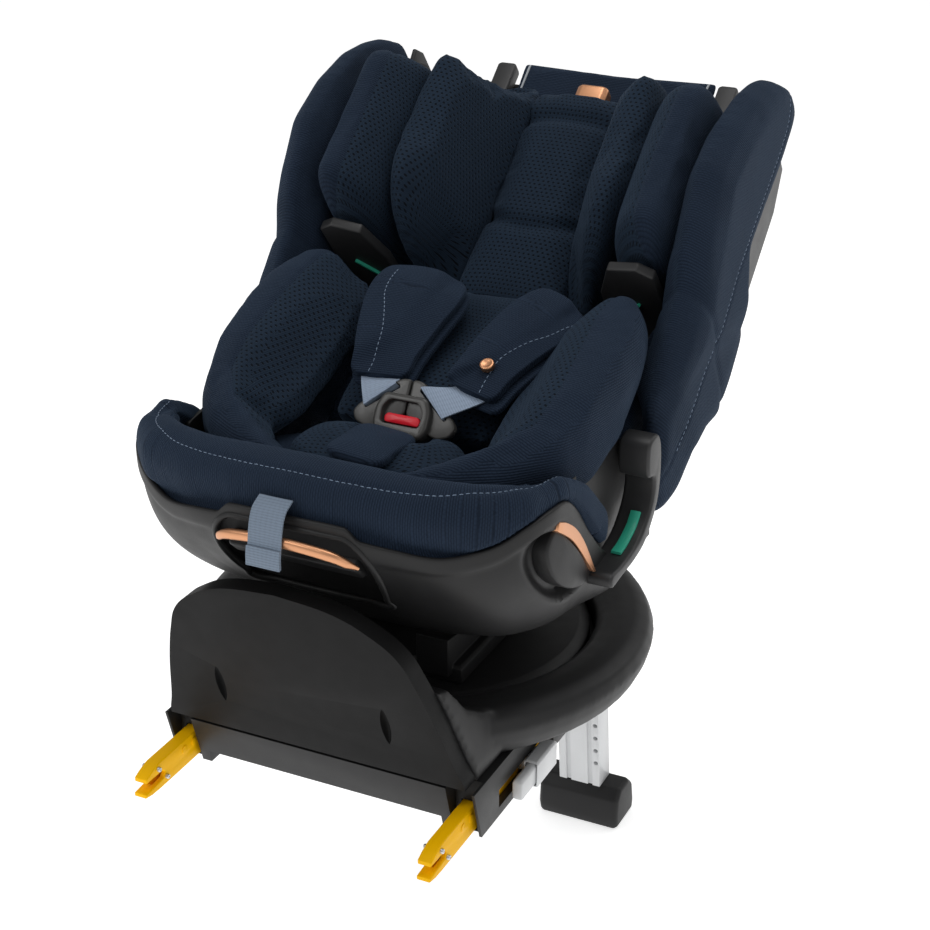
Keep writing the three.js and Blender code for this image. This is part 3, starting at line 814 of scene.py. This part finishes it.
PETAL = spline([(50, 54), (60, 86), (76, 128), (91, 170), (101, 190), (112, 187), (117, 166), (112, 125),
    (103, 88), (94, 54)], 4, True)
WING = spline([(100, 56), (112, 108), (124, 166), (141, 198), (160, 213), (173, 208), (178, 186), (178, 120),
    (168, 60)], 4, True)
pad("side_wing_right", 4.5, 4, 1.5, 3, -0.6, fuller=(206, 5))
pad("headrest_wing_right", 5.0, 3, 3.0, 4, 0.5,
    lobe("pad_headrest_wing_right", WING, (130, 56), (260, 256), (490, 456), (0.16, 0.24)))
pad("headrest_petal_right", 5.0, 3, 4.0, 8, 0.0,
    lobe("pad_headrest_petal_right", PETAL, (66, 54), (254, 250), (513, 468), (0.40, 0.13)))
centre = copy_of("headrest_centre", "pad_headrest_centre")
set_co(centre, get_co(centre) * (1.14, 1, 1))
pad("headrest_centre", 5.0, 4, 4.0, 8, 0.5, centre)
pad("seat_cover", 5.0, 5, 2.5, 6, 0.8)
pad("seat_pad", 6.0, 5, 4.0, 8, 2.0)
pad("insert_seat", 5.0, 5, 4.0, 9, 1.0)
pad("insert_side_right", 5.0, 6, 4.0, 7, 1.0, fuller=(168, 6))
pad("insert_back", 6.0, 6, 4.0, 10, 1.5)
pad("back_cover", 4.0, 2, 2.0, 4, 0.6)
pad("top_cover", 4.5, 3, 2.0, 4, 0.8)


def pad_place(line_from, line_to, normal):
    """Placement along a line, its face turned towards normal."""
    a, b = floats(line_from), floats(line_to)
    y = (b - a) / norm(b - a)
    x = np.cross(y, normal)
    x /= norm(x)
    z = np.cross(x, y)
    return lambda i, j, h: tuple(a + x * i + y * j + z * h)


def curved_place(points, normal):
    """Placement along a curve: across it, along it, and off its face."""
    line = resample(spline(points, 12), 2.0)
    reach = np.r_[0, np.cumsum(norm(np.diff(line, axis=0), axis=1))]

    def at(j):
        return np.array([np.interp(j, reach, line[:, k]) for k in range(3)])

    def place(i, j, h):
        inside = min(max(j, 2), reach[-1] - 2)
        y = at(inside + 2) - at(inside - 2)
        y /= norm(y)
        x = np.cross(y, normal)
        x /= norm(x)
        return tuple(at(inside) + y * (j - inside) + x * i + np.cross(x, y) * h)
    return place


CHEST = (0, -0.43, 0.9)


def pad_outline(top):
    """Half widths grow from the lower edge to the top."""
    half = [(10, 1), (27, 5), (27 + 0.3 * (top - 27), 30), (27 + 0.75 * (top - 27), 70), (top, 104),
        (0.84 * top, 128), (0.35 * top, 137)]
    return spline(half + mirror(half), 5, closed=True)


PAD_TOP = {"right": 38, "left": 47}
TAPE_TOP = {"right": (-20, 16), "left": (20, -18)}
PAD_CURVE = {"right": [(60, 140, 320), (73, 184, 343), (92, 232, 363), (106, 258, 368)],
             "left": [(-31, 142, 320), (-36, 184, 343), (-38, 232, 367), (-36, 262, 374)]}
PAD_MAP = {side: curved_place(curve, CHEST) for side, curve in PAD_CURVE.items()}
for side, shift in (("right", 4), ("left", 2)):
    outline = pad_outline(PAD_TOP[side])
    upper = pillow("pad_shoulder_pad_" + side, outline, PAD_MAP[side], 9, 19, 4, 3.0)
    under = [(x * 1.03 + shift, 66 + (y - 69) * 1.03) for x, y in outline]
    lower = pillow("pad_shoulder_lining_" + side, under, PAD_MAP[side], 1, 8, 0.6, 3.0)
    puff(upper, 3.0, 4)
    puff(lower, 3.0, 2)
    PADS["shoulder_pad_" + side], PADS["lining_" + side] = upper, lower
crotch_map = pad_place((2, 22, 297), (6, 94, 297), (0, 0, 1))
crotch = pillow("pad_crotch_pad", spline([(-26, 4), (0, 0), (26, 4), (29, 30), (27, 66), (0, 72), (-27, 66),
    (-29, 30)], 6, True),
                crotch_map, 1, 10, 4, 4.0)
puff(crotch, 3.0, 4)
PADS["crotch_pad"] = crotch

run_cloth()

# ---- ears ----
EAR_PATH = up_back(205, 80, 520, 140)


FAR = 99  # stands for "not near the seam", in mm


def seam_w(u):
    """Height out of the back of the seam between the ear's face and its plain side."""
    return np.interp(u, [110, 160, 300, 470, 510], [70, 84, 104, 98, 108])


def ear_seam(co):
    b = on_back(co)
    return np.where(b[:, 0] > 208, np.abs(b[:, 2] - seam_w(b[:, 1])), FAR)


def ear_joint(co):
    b = on_back(co)
    return np.abs(b[:, 1] - 226 - 0.16 * (b[:, 2] - 90))


ears = finish_pad("side_wing_right", EAR_PATH, UP_BACK,
    creases=[(ear_seam, 1.1, 2.6), (ear_joint, 1.6, 5.0)],
                  twin="side_wing_left")
seam = [back(224, u, seam_w(u)) for u in range(122, 508, 10)]
for ob, (side, s) in zip(ears, SIDES):
    thread_line("ear_stitch_" + side, ob, [(s * x, y, z) for x, y, z in seam])

# ---- headrest ----


def wing_zone(co):
    """Positive on the inner face, which is perforated."""
    b = on_back(co)
    inner = 152 - np.abs(b[:, 0]) + 0.25 * (200 - b[:, 2])
    return np.minimum(inner, 30)


finish_pad("headrest_wing_right", up_back(140, 250, 450, 130), UP_BACK, zone=wing_zone,
           creases=[(lambda co: np.abs(wing_zone(co)), 1.3, 2.6)], twin="headrest_wing_left")
finish_pad("headrest_petal_right", up_back(84, 250, 460, 122), UP_BACK,
           zone=all_mesh, twin="headrest_petal_left")


def block_line(u0, dip):
    def distance(co):
        b = on_back(co)
        d = np.abs(b[:, 1] - u0 + dip * (1 - (b[:, 0] / 50) ** 2))
        return np.where(b[:, 2] > 56, d, FAR)
    return distance


finish_pad("headrest_centre", up_back(0, 230, 500, 58), UP_BACK, zone=all_mesh,
           creases=[(block_line(456, -4), 7, 9), (block_line(338, 12), 7, 9)])

# ---- covers and the infant insert ----
BOLSTER = [(193, 124, 236), (193, 80, 276), (190, 32, 301), (177, -4, 300), (146, -30, 304), (103, -43, 306),
    (52, -50, 311),
           (0, -52, 313)]
BOLSTER_PATH = spline(BOLSTER + mirror(BOLSTER[:-1]), 4)
TOP_SEAM = spline([(183, 40, 322), (176, 4, 323), (160, -26, 326), (128, -48, 322), (92, -60, 325),
    (46, -68, 330), (0, -71, 332)], 8)
TOP_SEAM = np.vstack([TOP_SEAM, (TOP_SEAM[:-1] * (-1, 1, 1))[::-1]])
cover = finish_pad("seat_cover", BOLSTER_PATH, (0, 0, 1),
    creases=[(lambda co: line_distance(co, TOP_SEAM), 1.8, 3.5)])[0]
finish_pad("seat_pad", [(0, -30, 250), (0, 150, 250)], (0, 0, 1))
finish_pad("insert_seat", [(0, 20, 283), (0, 135, 283)], (0, 0, 1), zone=all_mesh)
INSERT_PATH = [(150, 272, 396), (152, 250, 402), (152, 212, 395), (156, 168, 380), (158, 118, 360),
    (153, 78, 340), (130, 44, 326),
               (100, 20, 319), (66, 4, 312), (44, -4, 304)]


def insert_zone(co):
    """Distance of a point inside the crest line of the insert's side."""
    p = floats(INSERT_PATH)[:, :2]
    xy = np.hstack([np.abs(co[:, :1]), co[:, 1:2]])
    best, signed = np.full(len(co), 1e9), np.zeros(len(co))
    for a, b in zip(p[:-1], p[1:]):
        d = (b - a) / norm(b - a)
        k = np.clip((xy - a) @ d, 0, norm(b - a))
        r = xy - a - np.outer(k, d)
        dist = norm(r, axis=1)
        near = dist < best
        best[near] = dist[near]
        signed[near] = r[near, 0] * d[1] - r[near, 1] * d[0]
    return signed - 4 - 0.5 * np.maximum(0, 50 - co[:, 1])


finish_pad("insert_side_right", None, None, zone=insert_zone,
           creases=[(lambda co: np.where(get_no(PADS["insert_side_right"])[:, 2] > -0.2,
               np.abs(insert_zone(co)), FAR), 1.4, 2.8)], twin="insert_side_left")
finish_pad("insert_back", up_back(0, 40, 240, 90), UP_BACK, zone=all_mesh)
finish_pad("back_cover", up_back(0, 100, 250, 10), UP_BACK)
top = finish_pad("top_cover", up_back(0, 250, 580, 8), UP_BACK)[0]
for side, s in SIDES:
    thread_line("top_piping_" + side, top, [back(s * 102, u, 16) for u in range(470, 578, 6)],
                radius=1.3, material=PIPING, lift=0.6, solid=True)

# ---- harness ----
for side, s in SIDES:
    top_pad = finish_pad("shoulder_pad_" + side, PAD_CURVE[side], CHEST)[0]
    lining = PADS["lining_" + side]
    subdivided(lining)
    wrap_uv(lining, PAD_CURVE[side], CHEST)
    set_zone(lining, [ALL_RIBBED] * len(lining.data.vertices))
    wear(lining, NAVY, "seat", slot="fabric")
    seam = spline([(s * x, y) for x, y in [(10, 3), (7, 22), (8, 46), (15, 70), (24, 92), (28, 118)]], 8)
    thread_line("pad_stitch_" + side, top_pad, [PAD_MAP[side](x, y, 24) for x, y in seam])
finish_pad("crotch_pad", [(2, 22, 300), (6, 94, 300)], (0, 0, 1))
badge = loft("badge", [[PAD_MAP["right"](2 + r * cos(a), 30 + r * sin(a), h) for a in np.arange(40) * pi / 20]
                       for r, h in [(0.4, 24.3), (3.4, 24.3), (4.2, 25.0), (5.6, 25.1), (6.4, 24.5),
                               (6.6, 23.0), (6.4, 19.8)]])
wear(badge, COPPER, "seat", "pad_badge")

BUCKLE_FACE = (0, -0.85, 0.52)
buckle_map = pad_place((8, 118, 282), (8, 142, 321), BUCKLE_FACE)
buckle_outline = rounded([(-21, 0), (21, 0), (27, 9), (27, 26), (21, 39), (-21, 39), (-27, 26), (-27, 9)], 5)
buckle = prism("buckle_body", buckle_outline, 6, 27, buckle_map, 3.2, 4)
well = prism("well", rounded([(-19, 11), (19, 11), (20, 25), (14, 33), (-14, 33), (-20, 25)], 4), 9, 60,
    buckle_map, 0)
buckle = cut(buckle, well)
bevelled(buckle, 0.8, 3, 40)
wear(buckle, BUCKLE, "seat", "buckle")
button = pillow("buckle_push", rounded([(-17, 12.5), (17, 12.5), (18, 18), (15, 21), (-15, 21), (-18, 18)],
    2.4), buckle_map, 14, 23, 1.2, 1.4)
wear(button, RED, BODY["buckle_button"], "buckle_button")


def ribbon(name, lines, normal, half):
    """A flat tape through pairs of edge points."""
    pairs = spline([np.r_[a, b] for a, b in lines], 5)
    n = floats(normal) / norm(normal) * half
    rings = []
    for row in pairs:
        a, b = row[:3], row[3:]
        rings.append([a + n, b + n, b - n, a - n])
    return loft(name, rings)


for side, s in SIDES:
    blade = [(s * x, y) for x, y in [(0.7, 22), (0.7, 54), (10, 53.5), (28, 40), (47, 24), (51, 17), (47, 9),
        (36, 5), (24, 8)]]
    wing = prism("tongue_wing_" + side, rounded(blade[::s], 3.5), 12, 20.5, buckle_map, 1.8, 3)
    slit = prism("slit", rounded([(s * x, y) for x,
        y in [(11, 48), (41, 24.5), (39, 21.5), (9.5, 44.8)]][::s], 1.2), 0, 60, buckle_map, 0)
    wear(cut(wing, slit), BUCKLE, "seat", "tongue_" + side)
    hold = PAD_MAP[side]
    near, far = (s * 12, 46.3), (s * 39, 23.5)
    inner, outer = TAPE_TOP[side]
    lines = [(buckle_map(*near, 14), buckle_map(*far, 14)), (buckle_map(*near, 22), buckle_map(*far, 22)),
             (buckle_map(near[0] + s * 2, near[1] + 2.5, 23.4),
                 buckle_map(far[0] + s * 2, far[1] + 2.5, 23.4)),
             (hold(inner, 4, 8.6), hold(outer, 3, 8.6)), (hold(inner, 16, 8.6), hold(outer, 16, 8.6))]
    tape = ribbon("harness_tape_" + side, lines, CHEST, 0.55)
    wrap_uv(tape, [lines[0][0], lines[-1][0]], (0, -0.7, 0.7))
    wear(tape, STRAP, "seat", "shoulder_strap_" + side)

pull_path = spline([(-8, -82, 310), (-8, -94, 304), (-8, -100, 293), (-8, -103, 279), (-8, -105, 268),
    (-8, -105.5, 258)], 8)
pull = sweep("adjuster_pull", pull_path, [(-15.5, -0.8), (0, -1.0), (15.5, -0.8), (15.5, 0.8), (0, 0.6),
    (-15.5, 0.8)], (0, -1, 0.2))
wrap_uv(pull, [pull_path[0], pull_path[-1]], (0, -1, 0))
wear(pull, PULL, "seat", "adjuster_strap")
hem = sweep("adjuster_hem", pull_path[-14:] + np.array([0, -1.9, 0]),
    [(-15.8, -0.8), (15.8, -0.8), (15.8, 0.8), (-15.8, 0.8)], (0, -1, 0.2))
wrap_uv(hem, [pull_path[0], pull_path[-1]], (0, -1, 0))
wear(hem, PULL, "seat")

# ---- seat shell ----
RIM = [(0, -86, 286), (45, -85, 286), (90, -77, 280), (130, -61, 273), (165, -41, 281), (187, -21, 295),
    (198, 4, 302),
       (200, 30, 299), (199, 56, 280), (197, 88, 246), (196, 124, 212), (194, 165, 187), (184, 215, 180),
           (166, 262, 184),
       (120, 288, 190), (0, 296, 192)]
FLOOR = [(0, 62, 128), (30, 62, 128), (60, 65, 128), (88, 72, 128), (110, 84, 128), (126, 98, 128),
    (138, 114, 128), (145, 132, 128),
         (148, 148, 128), (150, 163, 128), (150, 178, 128), (148, 194, 128), (142, 208, 128), (130, 222, 128),
             (84, 236, 128), (0, 242, 128)]


def wrapped(half):
    return spline(half + mirror(half[1:-1]), 14, closed=True)


RIM_STEP = 9  # the rim stands higher over the front opening
rim, floor = wrapped(RIM), wrapped(FLOOR)
rim[:, 2] += RIM_STEP * (1 - ease(np.abs(rim[:, 0]), 54, 68)) * (rim[:, 1] < 0)


SEAT_Y = 130  # the shell is laid out round x 0 at this y
FLUTE = 2.6  # depth of the step below the rim
RECESS, RECESS_HALF, RECESS_DEPTH = (30, 240), (66, 30), 14  # round the side button: centre (y, z), half axes
TILT_COS, TILT_SIN = 0.788, 0.616
RECLINE_CENTRE, RECLINE_RADIUS = (120, 520.6), 393  # the shell's underside is this arc
WALL = 5.0


def shell_ring(h, grow, rise, outer):
    """A closed line of the shell at height h, 0 at the floor and 1 at the rim, grown outwards and raised."""
    flank = ease(np.abs(rim[:, 0]), 110, 175)
    p = floor + (rim - floor) * np.stack([1 - (1 - h) ** (2.3 + 1.2 * flank),
        1 - (1 - h) ** (1.6 + 0.6 * flank), np.full_like(flank, h)], 1)
    if outer:
        below = (rim[:, 2] - p[:, 2]) * (1 + 0.25 * ease(np.abs(p[:, 0]), 70, 140))
        front = ease(-p[:, 1], -60, 0)
        grow = grow - FLUTE * ease(below, 15, 21) * front * ease(np.abs(p[:, 0]), 66, 92)
    y, z = p[:, 1] - RECESS[0], p[:, 2] - RECESS[1]
    along, over = TILT_COS * y - TILT_SIN * z, TILT_SIN * y + TILT_COS * z
    reach = np.hypot(along / RECESS_HALF[0], over / RECESS_HALF[1])
    grow = grow - RECESS_DEPTH * (1 - ease(reach, 0.70, 1.0)) * (np.abs(p[:, 0]) > 110)
    away = p[:, :2] - np.array([0, SEAT_Y])
    away /= np.maximum(norm(away, axis=1), 1)[:, None]
    p[:, :2] += away * np.broadcast_to(grow, len(p))[:, None]
    p[:, 2] = np.maximum(p[:, 2] + rise, RECLINE_CENTRE[1] - np.sqrt(RECLINE_RADIUS ** 2 - (p[:,
        1] - RECLINE_CENTRE[0]) ** 2))
    return p


rows = [shell_ring(h, 0, 0, True) for h in np.linspace(0, 1, 54)]
rows += [shell_ring(1, g, r, True) for g, r in [(-0.3, 1.0), (-1.2, 1.7), (-2.6, 1.9), (-4.0, 1.4),
    (-4.8, 0.2)]]
rows += [shell_ring(h, -WALL, 0, False) for h in np.linspace(0.97, 0.06, 20)]
rows[-1][:, 2] = rows[-2][:, 2]
shell = loft("shell", rows)
MOUTH = [(-58, 284), (-36, 287), (36, 287), (58, 284), (72, 268), (76, 244), (70, 214), (58, 199), (-58, 199),
    (-70, 214), (-76, 244), (-72, 268)]
mouth = prism("mouth", spline(MOUTH, 6, True), -140, 20, lambda a, b, h: (a, h, b), 0)
cut(shell, mouth)
shade(shell, 40)
wear(shell, SHELL, "seat", "seat_shell")

TUCK = 5.8  # how far inside the rim the cover's edge lies
EDGE_BAND, EDGE_END = 32, 100  # the edge is what lies this near the rim, up to this y


def tucked(co):
    """Keeps the cover's lower edge inside the shell's rim."""
    angle, rim_angle = np.arctan2(co[:, 1] - SEAT_Y, co[:, 0]), np.arctan2(rim[:, 1] - SEAT_Y, rim[:, 0])
    order = np.argsort(rim_angle)
    reach = np.interp(angle, rim_angle[order], np.hypot(rim[:, 0], rim[:, 1] - SEAT_Y)[order], period=2 * pi)
    height = np.interp(angle, rim_angle[order], rim[order, 2], period=2 * pi)
    rho = np.hypot(co[:, 0], co[:, 1] - SEAT_Y)
    edge = (rho > reach - EDGE_BAND) & (co[:, 1] < EDGE_END)
    low = ease(height + 27 - co[:, 2], 0, 24) * edge
    z = np.where(edge, np.maximum(co[:, 2] - 14 * low, height - 6), co[:, 2])
    hug = low * ease(height + 8 - z, 0, 10)
    most = reach - TUCK + 16 * ease(z - height, 0, 12)
    k = np.where(edge, np.minimum(rho + (reach - TUCK - rho) * hug, most) / np.maximum(rho, 1), 1)
    return np.stack([co[:, 0] * k, SEAT_Y + (co[:, 1] - SEAT_Y) * k, z], 1)


set_co(cover, tucked(get_co(cover)))
thread_line("seat_stitch", cover, TOP_SEAM)


# frame round the front opening, carried on the shell's own surface
FRONT_ROWS = [shell_ring(h, 0, 0, False) for h in np.linspace(0.2, 1, 40)]
FRONT_ROWS = [row[row[:, 1] < 40] for row in FRONT_ROWS]
FRONT_ROWS = [row[np.argsort(row[:, 0])] for row in FRONT_ROWS]


def shell_front(x, z):
    """y of the shell's front surface at x, z."""
    heights, depths = [], []
    for row in FRONT_ROWS:
        heights.append(np.interp(x, row[:, 0], row[:, 2]))
        depths.append(np.interp(x, row[:, 0], row[:, 1]))
    return np.interp(z, heights, depths)


def outward(line, i):
    """The unit vector off a closed line at its point i."""
    d = np.array(line[(i + 1) % len(line)]) - line[i - 1]
    return np.array([d[1], -d[0]]) / norm(d)


loop = spline(MOUTH, 8, True)
section = [(-0.5, 4.5), (-2.2, 2.5), (-2.6, 0.2), (-1.6, -1.6), (0.6, -2.1), (2.6, -1.4), (3.4, 0.6),
    (2.6, 4.5)]
rings = []
for i, (x, z) in enumerate(loop):
    out = outward(loop, i)
    y = shell_front(x, z)
    rings.append([(x + out[0] * a, y + b, z + out[1] * a) for a, b in section])
bezel = loft("mouth_frame", rings, closed=True)
wear(bezel, SHELL, "seat")
liner = loft("mouth_liner", [[(x * k, shell_front(x, z) + d, 243 + (z - 243) * k) for x, z in loop] for k,
    d in [(0.985, 5), (0.96, 24), (0.86, 44), (0.3, 50)]])
wear(liner, DARK, "seat")

bar_path = spline([(-66, -82, 262), (-60, -89, 268), (-44, -94.5, 275), (0, -97.5, 279), (44, -94.5, 275),
    (60, -89, 268), (66, -82, 262)], 8)
taper = np.interp(np.abs(bar_path[:, 0]), [0, 46, 60, 66], [1.0, 1.0, 0.8, 0.35])
bar = sweep("handle_bar", bar_path, superellipse(0, 0, 3.6, 4.6, 2.6, 20), (0, 0, 1), taper)
wear(bar, COPPER, BODY["front_handle_bar"], "front_handle_bar")
hard("front_lever", DARK, 2.5, 4)

# ---- side controls ----
CRESCENT = [*spline([(15, 289), (30, 282), (50, 268), (68, 249), (83, 228), (98, 205)], 5),
            *spline([(94, 206), (79, 222), (62, 241), (44, 259), (28, 271), (13, 281)], 5)]
crescent = prism("crescent_right", rounded(CRESCENT, 1.6, 2), 188, 200.2, lambda a, b,
    h: (h + min(0, (a - 20) * 0.1), a, b), 1.2, 3)
DISC = (48, 242)
DISC_OUTLINE = spline([(21, 280), (5, 268), (8, 249), (20, 231), (38, 217), (60, 206), (84, 199), (93, 205),
    (79, 222), (63, 239), (43, 259),
                       (29, 272)], 5, True)


def button_map(a, b, h):
    return (192 + h + 0.03 * (a - DISC[0]) - 0.0016 * ((a - DISC[0]) ** 2 + (b - DISC[1]) ** 2), a, b)


side_button = pillow("disc_button_right", DISC_OUTLINE, button_map, -9, 7, 0.8, 2.4)
HOOK = [(96, 192), (120, 193), (150, 195), (177, 203), (202, 228), (209, 256), (207, 284), (198, 298),
    (181, 297), (176, 288), (178, 264),
        (193, 257), (190, 235), (170, 215), (148, 207), (120, 204), (96, 204)]
arm = prism("arm_right", spline(HOOK, 4, True), 186.5, 216.5, lambda a, b, h: (h, a, b), 3.6, 4)
strip_path = spline([(204, 181, 227), (204, 170, 217.4), (204, 150, 209.6), (204, 134, 207.2)], 6)
strip = sweep("arm_strip_right", strip_path, [(-4.6, -1.4), (4.6, -1.4), (4.6, 0.9), (3.6, 1.4), (-3.6, 1.4),
    (-4.6, 0.9)], (0, -0.5, 1))
shade(strip, 30)
for ob, node, mat, slot_name in ((crescent, "side_crescent", COPPER, None),
        (side_button, "side_button", SHELL, "dark_plastic"),
                                 (arm, "side_arm", HOOK_GREY, "dark_plastic"), (strip, None, GREEN, None)):
    left = flipped(ob, ob.name.replace("right", "left"))
    for o, side in ((ob, "right"), (left, "left")):
        wear(o, mat, BODY[f"{node}_{side}"] if node else "seat", *([f"{node}_{side}"] if node else []),
            slot=slot_name)

# painted shade: dark plastic sheets put where only shadow shows, behind the cover and behind the ears
SHADE_SHEET_LOW = [(48, 292), (66, 262), (96, 226), (124, 200), (165, 182), (200, 190), (216, 214), (210, 256),
    (190, 292), (120, 300)]
SHADE_SHEET_BACK = [(262, 30), (500, 30), (508, 78), (498, 98), (462, 102), (300, 94), (262, 68)]
for name, outline, place in (("shade_sheet_low", SHADE_SHEET_LOW, lambda a, b, h: (h, a, b)),
        ("wall_back", SHADE_SHEET_BACK, lambda a, b, h: back(h, a, b))):
    # painted shade: each dark sheet stands for shadow, not for a real wall of the seat
    shade_sheet = prism(name + "_right", rounded(outline, 8, 3), 179, 183, place, 0.6, 2)
    for ob in (shade_sheet, flipped(shade_sheet, name + "_left")):
        wear(ob, DARK, "seat")

# ---- base ----
PANEL = [(147, 54.5), (145.8, 62), (140, 81), (131, 121), (123, 150), (117, 168), (110, 186), (99, 201),
    (83, 213), (65, 223), (40, 230), (0, 234)]
panel_half = [tuple(p) for p in spline(PANEL, 6)]
panel_outline = panel_half + mirror(panel_half[:-1])


def lean_map(x, z, h):
    return (x, -36 - PANEL_LEAN * z + h, z)


panel = prism("panel", panel_outline, 0, 20, lean_map, 0)
scoops = []
for s in (1, -1):
    rings = []
    for k in np.linspace(0.02, 0.98, 13):
        r = sin(k * pi) ** 0.7
        rings.append([lean_map(s * 81 + 4.6 * r * cos(t), 110 + (k - 0.5) * 42, -0.5 + 7.5 * r * sin(t))
            for t in np.arange(20) * pi / 10])
    scoops.append(loft("scoop", rings))
cut(panel, *scoops)
bevelled(panel, 3.4, 5, 50)
wear(panel, PANEL_BLACK, "base", "rebound_panel")

ring = copy_of("base_ring", "ring")
remeshed(ring, 2.6, 9)
shade(ring, 180)
wear(ring, BLACK, "base", "base_ring")
for moulded in (("base_tray", BLACK, 1.6, 3), ("turntable_disc", DARK, 1.2, 3),
        ("recline_carriage", DARK, 1.2, 3),
                ("leg_hinge_pin", STEEL, 0.6, 2), ("leg_housing", DARK, 1.0, 3),
                    ("leg_release_button", GREEN, 0.8, 3),
                ("leg_inner_tube", LIGHT, 0.7, 2), ("leg_foot", DARK, 2.4, 4)):
    hard(*moulded)

# ---- anchors ----
for side, s in SIDES:
    hard("connector_" + side, YELLOW, 0.7, 3)
    hard("connector_latch_" + side, STEEL, 0.4, 2)
    cx = 140 * s
    for k, (y, z) in enumerate([(-98, 25.2), (-86, 11.2)]):
        for face in (1, -1):
            rivet = loft(f"rivet_{side}_{k}_{'out' if face > 0 else 'in'}",
                         [[(cx + face * h, y + r * cos(a), z - 1.5 + r * sin(a))
                             for a in np.arange(20) * pi / 10][::face]
                          for r, h in [(2.3, 6), (2.3, 8.7), (1.8, 9.3), (0.9, 9.4), (0.8, 8.8), (0.2, 8.8)]])
            shade(rivet, 40)
            wear(rivet, STEEL, BODY["connector_" + side])
    hard("adjuster_block_" + side, LIGHT, 1.2, 3)
    hard("adjuster_button_" + side, LIGHT, 1.4, 3)

# ---- seat back ----
rear = copy_of("back_shell", "rear_shell")
bevelled(rear, 4, 4, 25)
wear(rear, SHELL, "seat", "back_shell")


def rear_map(x, u, h):
    """On the flat rear face; h points away from the seat."""
    return back(x, u, -47 + 3 * max(0, abs(x) - 60) / 110 - h)


frame_line = rounded([(-132, 268), (132, 268), (146, 300), (146, 500), (126, 528), (-126, 528), (-146, 500),
    (-146, 300)], 16, 6)
rings = []
for i, (x, u) in enumerate(frame_line):
    out = outward(frame_line, i)
    rings.append([rear_map(x + out[0] * a, u + out[1] * a, h) for a,
        h in [(-3.4, -1), (-2.6, 1.4), (0, 2.2), (2.6, 1.4), (3.4, -1)]])
wear(loft("rear_panel_edge", rings, closed=True), SHELL, "seat")
for k in range(6):
    half = 78 - 5 * k
    rib = pillow(f"rear_rib_{k}", superellipse(0, 318 + 17 * k, half, 3.2, 3.4, 40), rear_map, -1, 1.2, 0.5,
        0.9, 4)
    wear(rib, SHELL, "seat")
for side in ("right", "left"):
    hard("side_plate_" + side, HOOK_GREY, 1.6, 3)
    hard("back_rail_" + side, HOOK_GREY, 3.0, 4)
hard("headrest_frame", HOOK_GREY, 2.0, 4)
for side, s in SIDES:
    mark = sweep("guide_mark_" + side, [back(s * 150, 245.4, 112), back(s * 108, 245.4, 72)],
        [(-2.6, -1.2), (2.6, -1.2), (2.6, 1.2), (-2.6, 1.2)], UP_BACK)
    wear(mark, GREEN, "headrest")
hard("headrest_handle", COPPER, 2.4, 4)

# ---- floor and light ----


def floor_plane():
    me = bpy.data.meshes.new("floor")
    z = CAD_BOX[0].z - 0.0005
    me.from_pydata([(-14, -14, z), (14, -14, z), (14, 14, z), (-14, 14, z)], [], [(0, 1, 2, 3)])
    ob = linked("floor", me)
    g = Graph("pale_floor")
    me.materials.append(g.set(Base_Color=(0.93, 0.93, 0.93), Roughness=0.9, Specular_IOR_Level=0.1,
        Emission_Color=(1, 1, 1),
                              Emission_Strength=0.6))


LIGHT_AIM = Vector((0, 0.15, 0.25))


def light(name, where, size, power):
    data = bpy.data.lights.new(name, "AREA")
    data.shape, data.size, data.energy = "DISK", size, power
    ob = linked(name, data)
    ob.location = where
    ob.rotation_mode = "QUATERNION"
    ob.rotation_quaternion = (LIGHT_AIM - Vector(where)).to_track_quat("-Z", "Y")


floor_plane()
light("key", (-1.6, -2.2, 2.6), 1.6, 28)
light("fill", (2.6, -1.6, 1.4), 2.0, 8.5)
light("top", (0.2, 0.6, 3.2), 2.2, 30)
light("rim", (1.6, 2.4, 1.8), 1.4, 8)
world = bpy.data.worlds.new("studio")
SCENE.world = world
world.use_nodes = True
background = world.node_tree.nodes["Background"].inputs
background[0].default_value, background[1].default_value = (1, 1, 1, 1), 0.42
SCENE.view_settings.view_transform = "Standard"
